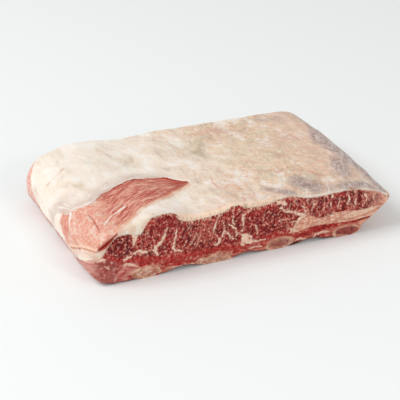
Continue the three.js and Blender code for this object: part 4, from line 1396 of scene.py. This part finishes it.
def bone_material(colours):
    """A tan, striped sawn face with a spongy red core, and a sheath on the side."""
    s = Shader("Sawn rib bone", colours)
    clouds = s.noise((9, 22, 6), 0.55)
    pores = s.pores((2.4, 5.0, 2.0), s.stirred(3, 1.2))
    fine = s.noise((1.6, 4, 1.4), 0.65)
    grit = s.noise((4.6, 10, 3.3), 0.75)
    core = s.map("core")
    at_end = s.map("at_end")
    s.paint("bone_tan")
    s.paint("bone_pale", clouds.ramp(0.42, 0.58))
    marrow = s.map("marrow")
    sponge = (core * (0.45 + 0.8 * marrow)).varied(clouds, 1.7).varied(grit, 0.8)
    spongy = sponge.ramp(0.28, 0.55) * marrow
    s.paint("marrow", spongy * 0.95)
    s.paint("marrow_dark", spongy * grit.ramp(0.48, 0.43) * 0.85)
    s.paint("bone_pink", spongy * grit.ramp(0.54, 0.59) * 0.65)
    sawn = s.noise((7, 20, 2.4), 0.65, turn=(0, -8, 0))
    split = s.winding((12, 26, 3.6), 0.6, turn=(0, -14, 0)).ramp(0.03, 0.008)
    dry = (1 - spongy) * at_end
    s.paint("bone_brown", sawn.ramp(0.47, 0.4) * 0.5 * dry)
    s.paint("bone_pale", sawn.ramp(0.53, 0.6) * 0.6 * dry)
    s.paint("bone_brown", grit.ramp(0.48, 0.42) * 0.4 * dry)
    s.paint("cream_fat", grit.ramp(0.55, 0.6) * 0.4 * dry)
    s.paint("bone_brown", split * grit.ramp(0.58, 0.48) * 0.75 * dry)
    bitten = s.noise((10, 24, 5), 0.6)
    shell = core.varied(sawn, 0.9).varied(clouds, 0.5).ramp(0.14, 0.02) * at_end
    s.paint("bone_pale", shell * bitten.ramp(0.42, 0.52) * 0.55)
    edge = core.varied(bitten, 1.1).varied(grit, 0.3).ramp(0.05, -0.04) * at_end
    s.paint("rib_red", edge * 0.85)
    sheath = s.noise((3, 24, 5), 0.6, bend=0.4)
    side = s.blend(sheath.ramp(0.4, 0.62), colours.bone_pink, colours.silver_skin)
    s.paint(side, at_end.ramp(0.6, 0.2))
    height = 0.4 * pores * at_end + 0.4 * fine + 0.25 * sheath
    gloss = 0.55 - 0.1 * spongy + 0.06 * fine
    coat = 0.06 + 0.1 * spongy
    return s.finish(gloss, height, 0.8, coat, FATTY | {"Subsurface Weight": 0.1})


def floor_material(colours):
    """A pale floor with a faint speckle, a little lit from within."""
    s = Shader("Studio floor", colours)
    grain = s.noise((3, 3, 3), 0.5, detail=2)
    s.paint("floor")
    s.paint(FLOOR["speck"], grain * 0.04)
    lit = {"Emission Color": (1.0, 1.0, 1.0, 1), "Emission Strength": 0.06, "Specular IOR Level": 0.1}
    return s.finish(0.7 + 0.05 * grain, grain, 0.02, 0.0, lit)


# ---------------------------------------------------------------------------------------------------------
# Placing finished pieces.


def place_piece(name, mesh, surface_map, material, node):
    """Gives a cut mesh its maps and material and puts it in the frame in its solid's stead."""
    surface_map(mesh, points_of(mesh))
    mesh.transform(TO_FRAME)
    mesh.materials.clear()
    mesh.materials.append(material)
    mesh.shade_smooth()
    mesh.set_sharp_from_angle(angle=SHARP)
    mesh.name = name
    piece = bpy.data.objects.new(name, mesh)
    bpy.context.scene.collection.objects.link(piece)
    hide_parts(node)
    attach(piece, "root")
    return piece


# ---------------------------------------------------------------------------------------------------------
# Properties.


def tint(name, description, red, green, blue):
    return FloatVectorProperty(name=name, description=description, subtype="COLOR", size=3, min=0, max=1,
                               default=linear(red, green, blue))


class ShortRibShape(bpy.types.PropertyGroup):
    """Sizes of the finished surface"""

    relief: FloatProperty(name="Relief", description="Strength of the surface relief, 1 as in life",
                          default=1.0, min=0.0, max=1.5, subtype="FACTOR")


class ShortRibColours(bpy.types.PropertyGroup):
    """Colours of the meat, fat and bone"""

    white_fat: tint("White fat", "Palest fat, tears and creases", 250, 244, 236)
    cream_fat: tint("Cream fat", "Fat cap at the left", 246, 233, 219)
    beige_fat: tint("Beige fat", "Fat cap at the right", 237, 209, 179)
    yellow_fat: tint("Yellow fat", "Yellowish mottles of the cap", 222, 202, 176)
    pink_fat: tint("Pink fat", "Blushed places of the cap", 214, 168, 146)
    grey_fat: tint("Grey fat", "Greenish grey place on the cap", 190, 172, 144)
    blush_skin: tint("Blush skin", "Pinkish beige of the right edge", 222, 188, 170)
    peach_fat: tint("Peach fat", "Cut edge of the cap", 252, 218, 190)
    rind_brown: tint("Rind brown", "Dark streaks of the cap's cut edge", 168, 128, 104)
    fringe_fat: tint("Fringe fat", "Fat streaks that reach from the cap into the meat", 232, 194, 166)
    # Also paints glints on the cap's combed cut edge and a highlight at its tip.
    ivory_fat: tint("Ivory fat", "Cut face of the cap at the left", 252, 232, 212)
    skin_brown: tint("Skin brown", "Brownish streaks of the right edge", 182, 146, 124)
    rib_wine: tint("Rib wine", "Dark spots of the left corner's meat", 112, 34, 36)
    bone_brown: tint("Bone brown", "Sawn bone, dark streaks", 164, 88, 66)
    lip_orange: tint("Lip orange", "Translucent lower edge of the bared muscle", 206, 134, 106)
    wall_pink: tint("Wall pink", "Meat low on the left wall", 230, 168, 154)
    strip_red: tint("Strip red", "Strip of bared meat on the left wall", 218, 136, 116)
    sheath_pale: tint("Sheath pale", "Pale sheath by the crack and the left corner", 232, 200, 182)
    sheath_grey: tint("Sheath grey", "Wrinkles above the bared muscle", 212, 192, 180)
    membrane_dark: tint("Membrane dark", "Dark crease of the right edge", 122, 88, 82)
    orange_fat: tint("Orange fat", "Thin translucent edges", 220, 152, 118)
    silver_skin: tint("Silver skin", "Greyish white sheath", 228, 217, 208)
    membrane: tint("Membrane", "Purple grey skin at the right edge", 144, 116, 116)
    blood_mark: tint("Blood mark", "Red scratches on the cap", 206, 136, 116)
    dark_cleft: tint("Dark cleft", "Inside of the open crack", 186, 44, 28)
    surface_pink: tint("Surface pink", "Bared muscle, light bundles", 222, 150, 128)
    surface_red: tint("Surface red", "Bared muscle, middle tone", 198, 100, 84)
    surface_deep: tint("Surface deep", "Bared muscle, dark bundles", 170, 56, 46)
    surface_thread: tint("Surface thread", "Pale threads along the bared muscle", 240, 188, 164)
    pale_corner: tint("Pale corner", "Bared muscle under its sheath", 232, 164, 140)
    meat_red: tint("Meat red", "Main muscle, light bundles", 172, 24, 24)
    meat_dark: tint("Meat dark", "Main muscle, dark bundles", 124, 12, 17)
    meat_shadow: tint("Meat shadow", "Gaps between bundles", 88, 8, 12)
    meat_wine: tint("Meat wine", "Darkest lobe at the left", 92, 10, 18)
    meat_crimson: tint("Meat crimson", "Bright crimson patches of the cut face", 172, 20, 34)
    meat_bright: tint("Meat bright", "Bright band along the ribs", 196, 42, 38)
    marbling_pink: tint("Marbling pink", "Fine pink marbling", 194, 88, 74)
    # Also paints the glints of the main muscle's cream specks.
    marbling_cream: tint("Marbling cream", "Fine cream marbling", 236, 176, 154)
    vein_fat: tint("Vein fat", "Fat of the thick veins", 252, 218, 194)
    seam_peach: tint("Seam peach", "Seam fat", 242, 186, 154)
    seam_cream: tint("Seam cream", "Pale lenses in the seam fat", 240, 208, 178)
    seam_tan: tint("Seam tan", "Seam fat, darker places", 232, 164, 132)
    seam_pink: tint("Seam pink", "Seam fat, pink streaks", 188, 100, 82)
    rib_red: tint("Rib red", "Rib meat", 182, 50, 43)
    rib_pink: tint("Rib pink", "Rib meat, light bundles", 182, 70, 60)
    rib_purple: tint("Rib purple", "Rib meat at the left corner", 172, 84, 76)
    bone_tan: tint("Bone tan", "Sawn bone", 202, 136, 112)
    bone_pale: tint("Bone pale", "Sawn bone, pale places", 240, 194, 166)
    bone_pink: tint("Bone pink", "Bone under its sheath", 184, 92, 76)
    marrow: tint("Marrow", "Spongy bone", 146, 48, 40)
    marrow_dark: tint("Marrow dark", "Pores of the spongy bone", 88, 20, 18)
    floor: tint("Floor", "Studio floor", 239, 242, 241)


class ShortRibStage(bpy.types.PropertyGroup):
    """Camera and light"""

    azimuth: FloatProperty(name="Azimuth", description="Camera's turn about the slab", unit="ROTATION",
                           default=math.radians(-24))
    elevation: FloatProperty(name="Elevation", description="Camera's height above the horizon",
                             unit="ROTATION", default=math.radians(27.3))
    distance: FloatProperty(name="Distance", description="Camera to the aimed point", unit="LENGTH",
                            default=1.3)
    lens: FloatProperty(name="Lens", description="Focal length on a 36 mm sensor", unit="CAMERA",
                        default=124.0)
    key_power: FloatProperty(name="Key light", description="Power of the large soft light", unit="POWER",
                             default=40.0)
    glint_power: FloatProperty(name="Glint light", description="Power of the small light that makes wet "
                               "places glint", unit="POWER", default=3.2)
    sky: FloatProperty(name="Sky", description="Strength of the even light", default=0.55, min=0, max=5,
                       subtype="FACTOR")


# ---------------------------------------------------------------------------------------------------------
# Operators.


class SHORTRIBS_OT_fat_cap(bpy.types.Operator):
    """Cut the fat cap with its trimmed window and the crack"""

    bl_idname = "shortribs.fat_cap"
    bl_label = "Fat Cap"

    def execute(self, context):
        window_room = carved(window_prism(CLEARANCE), outside=[below(window_floor)])
        mesh = carved(whole_slab(), outside=[below(muscle_top, CLEARANCE), window_room, crack_slot()])
        material = cap_fat_material(context.scene.short_rib_colours)
        place_piece("fat_cap_finished", mesh, map_cap, material, "fat_cap")
        return {"FINISHED"}


class SHORTRIBS_OT_surface_muscle(bpy.types.Operator):
    """Cut the surface muscle that the window bares"""

    bl_idname = "shortribs.surface_muscle"
    bl_label = "Surface Muscle"

    def execute(self, context):
        mesh = carved(whole_slab(), inside=[window_prism()],
                      outside=[below(window_floor, CLEARANCE), crack_slot()])
        material = surface_muscle_material(context.scene.short_rib_colours)
        place_piece("surface_muscle_finished", mesh, map_window, material, "surface_muscle")
        return {"FINISHED"}


class SHORTRIBS_OT_main_muscle(bpy.types.Operator):
    """Cut the thick marbled muscle between the cap and the ribs"""

    bl_idname = "shortribs.main_muscle"
    bl_label = "Main Muscle"

    def execute(self, context):
        mesh = carved(whole_slab(), inside=[below(muscle_top)], outside=[below(muscle_bottom, CLEARANCE)])
        material = main_muscle_material(context.scene.short_rib_colours)
        place_piece("main_muscle_finished", mesh, map_muscle, material, "main_muscle")
        return {"FINISHED"}


class SHORTRIBS_OT_seam_fat(bpy.types.Operator):
    """Cut the seam of fat between the main muscle and the rib meat"""

    bl_idname = "shortribs.seam_fat"
    bl_label = "Seam Fat"

    def execute(self, context):
        mesh = carved(whole_slab(), inside=[below(muscle_bottom)], outside=[below(rib_top, CLEARANCE)])
        material = seam_fat_material(context.scene.short_rib_colours)
        place_piece("seam_fat_finished", mesh, map_seam, material, "seam_fat")
        return {"FINISHED"}


class SHORTRIBS_OT_rib_meat(bpy.types.Operator):
    """Cut the meat between, under and around the bones"""

    bl_idname = "shortribs.rib_meat"
    bl_label = "Rib Meat"

    def execute(self, context):
        channels = [bone_mesh(spec, SPARE, BONE_CLEARANCE, resting=False) for spec in BONES]
        mesh = carved(whole_slab(), inside=[below(rib_top)], outside=channels)
        material = rib_meat_material(context.scene.short_rib_colours)
        place_piece("rib_meat_finished", mesh, map_ribs, material, "rib_muscle")
        return {"FINISHED"}


class SHORTRIBS_OT_rib_bones(bpy.types.Operator):
    """Shape the four rib bones"""

    bl_idname = "shortribs.rib_bones"
    bl_label = "Rib Bones"

    def execute(self, context):
        material = bone_material(context.scene.short_rib_colours)
        for number, spec in enumerate(BONES, 1):
            marrow = BONE_MARROW[number - 1]
            mesh = bone_mesh(spec, -BONE_RECESS)
            mapping = functools.partial(map_bone, spec=spec, marrow=marrow)
            place_piece(f"rib_bone_{number}_finished", mesh, mapping, material, f"rib_bone_{number}")
        return {"FINISHED"}


class SHORTRIBS_OT_stage(bpy.types.Operator):
    """Set up the floor, the soft light and the camera"""

    bl_idname = "shortribs.stage"
    bl_label = "Stage"

    def execute(self, context):
        stage = context.scene.short_rib_stage
        make_floor(context)
        make_lights(context, stage)
        make_camera(context, stage)
        return {"FINISHED"}


def make_floor(context):
    bm = bmesh.new()
    bmesh.ops.create_grid(bm, x_segments=FLOOR["cells"], y_segments=FLOOR["cells"], size=FLOOR["reach"])
    mesh = bpy.data.meshes.new("studio_floor")
    bm.to_mesh(mesh)
    bm.free()
    mesh.materials.append(floor_material(context.scene.short_rib_colours))
    floor = bpy.data.objects.new("studio_floor", mesh)
    context.scene.collection.objects.link(floor)


def make_lights(context, stage):
    world = bpy.data.worlds.new("studio")
    world.use_nodes = True
    sky = world.node_tree.nodes["Background"].inputs
    sky["Color"].default_value = (1.0, 1.0, 1.0, 1)
    sky["Strength"].default_value = stage.sky
    context.scene.world = world
    for name, place, size, power in (
        ("key", Vector((-1.8, 0.35, 2.05)), 1.6, stage.key_power),
        ("glint", Vector((0.35, -1.35, 0.85)), 0.3, stage.glint_power),
    ):
        light = bpy.data.lights.new(name, "AREA")
        light.shape = "DISK"
        light.size = size
        light.energy = power
        lamp = bpy.data.objects.new(name, light)
        lamp.location = place
        lamp.rotation_mode = "QUATERNION"
        lamp.rotation_quaternion = (-place).to_track_quat("-Z", "Y")
        context.scene.collection.objects.link(lamp)
    context.scene.view_settings.view_transform = "Standard"


def make_camera(context, stage):
    back = Vector((math.sin(stage.azimuth) * math.cos(stage.elevation),
                   -math.cos(stage.azimuth) * math.cos(stage.elevation), math.sin(stage.elevation)))
    view = bpy.data.cameras.new("view")
    view.lens = stage.lens
    view.sensor_width = SENSOR
    camera = bpy.data.objects.new("view", view)
    camera.location = Vector(AIM) + back * stage.distance
    camera.rotation_mode = "QUATERNION"
    camera.rotation_quaternion = (-back).to_track_quat("-Z", "Y")
    context.scene.collection.objects.link(camera)
    context.scene.camera = camera


class SHORTRIBS_PT_panel(bpy.types.Panel):
    """Lists the pieces and their settings"""

    bl_label = "Short Ribs"
    bl_idname = "SHORTRIBS_PT_panel"
    bl_space_type = "VIEW_3D"
    bl_region_type = "UI"
    bl_category = "Short Ribs"

    def draw(self, context):
        for operator in PIECES:
            self.layout.operator(operator.bl_idname)
        for group in (context.scene.short_rib_shape, context.scene.short_rib_colours,
                      context.scene.short_rib_stage):
            box = self.layout.box()
            for name in group.__annotations__:
                box.prop(group, name)


PIECES = (SHORTRIBS_OT_fat_cap, SHORTRIBS_OT_surface_muscle, SHORTRIBS_OT_main_muscle, SHORTRIBS_OT_seam_fat,
          SHORTRIBS_OT_rib_meat, SHORTRIBS_OT_rib_bones, SHORTRIBS_OT_stage)
CLASSES = (ShortRibShape, ShortRibColours, ShortRibStage, *PIECES, SHORTRIBS_PT_panel)


def register():
    for cls in CLASSES:
        bpy.utils.register_class(cls)
    bpy.types.Scene.short_rib_shape = PointerProperty(type=ShortRibShape)
    bpy.types.Scene.short_rib_colours = PointerProperty(type=ShortRibColours)
    bpy.types.Scene.short_rib_stage = PointerProperty(type=ShortRibStage)


def unregister():
    del bpy.types.Scene.short_rib_stage
    del bpy.types.Scene.short_rib_colours
    del bpy.types.Scene.short_rib_shape
    for cls in reversed(CLASSES):
        bpy.utils.unregister_class(cls)


def main():
    register()
    bpy.ops.shortribs.fat_cap()
    bpy.ops.shortribs.surface_muscle()
    bpy.ops.shortribs.main_muscle()
    bpy.ops.shortribs.seam_fat()
    bpy.ops.shortribs.rib_meat()
    bpy.ops.shortribs.rib_bones()
    bpy.ops.shortribs.stage()
    bpy.data.meshes.remove(whole_slab())


if __name__ == "__main__":
    main()
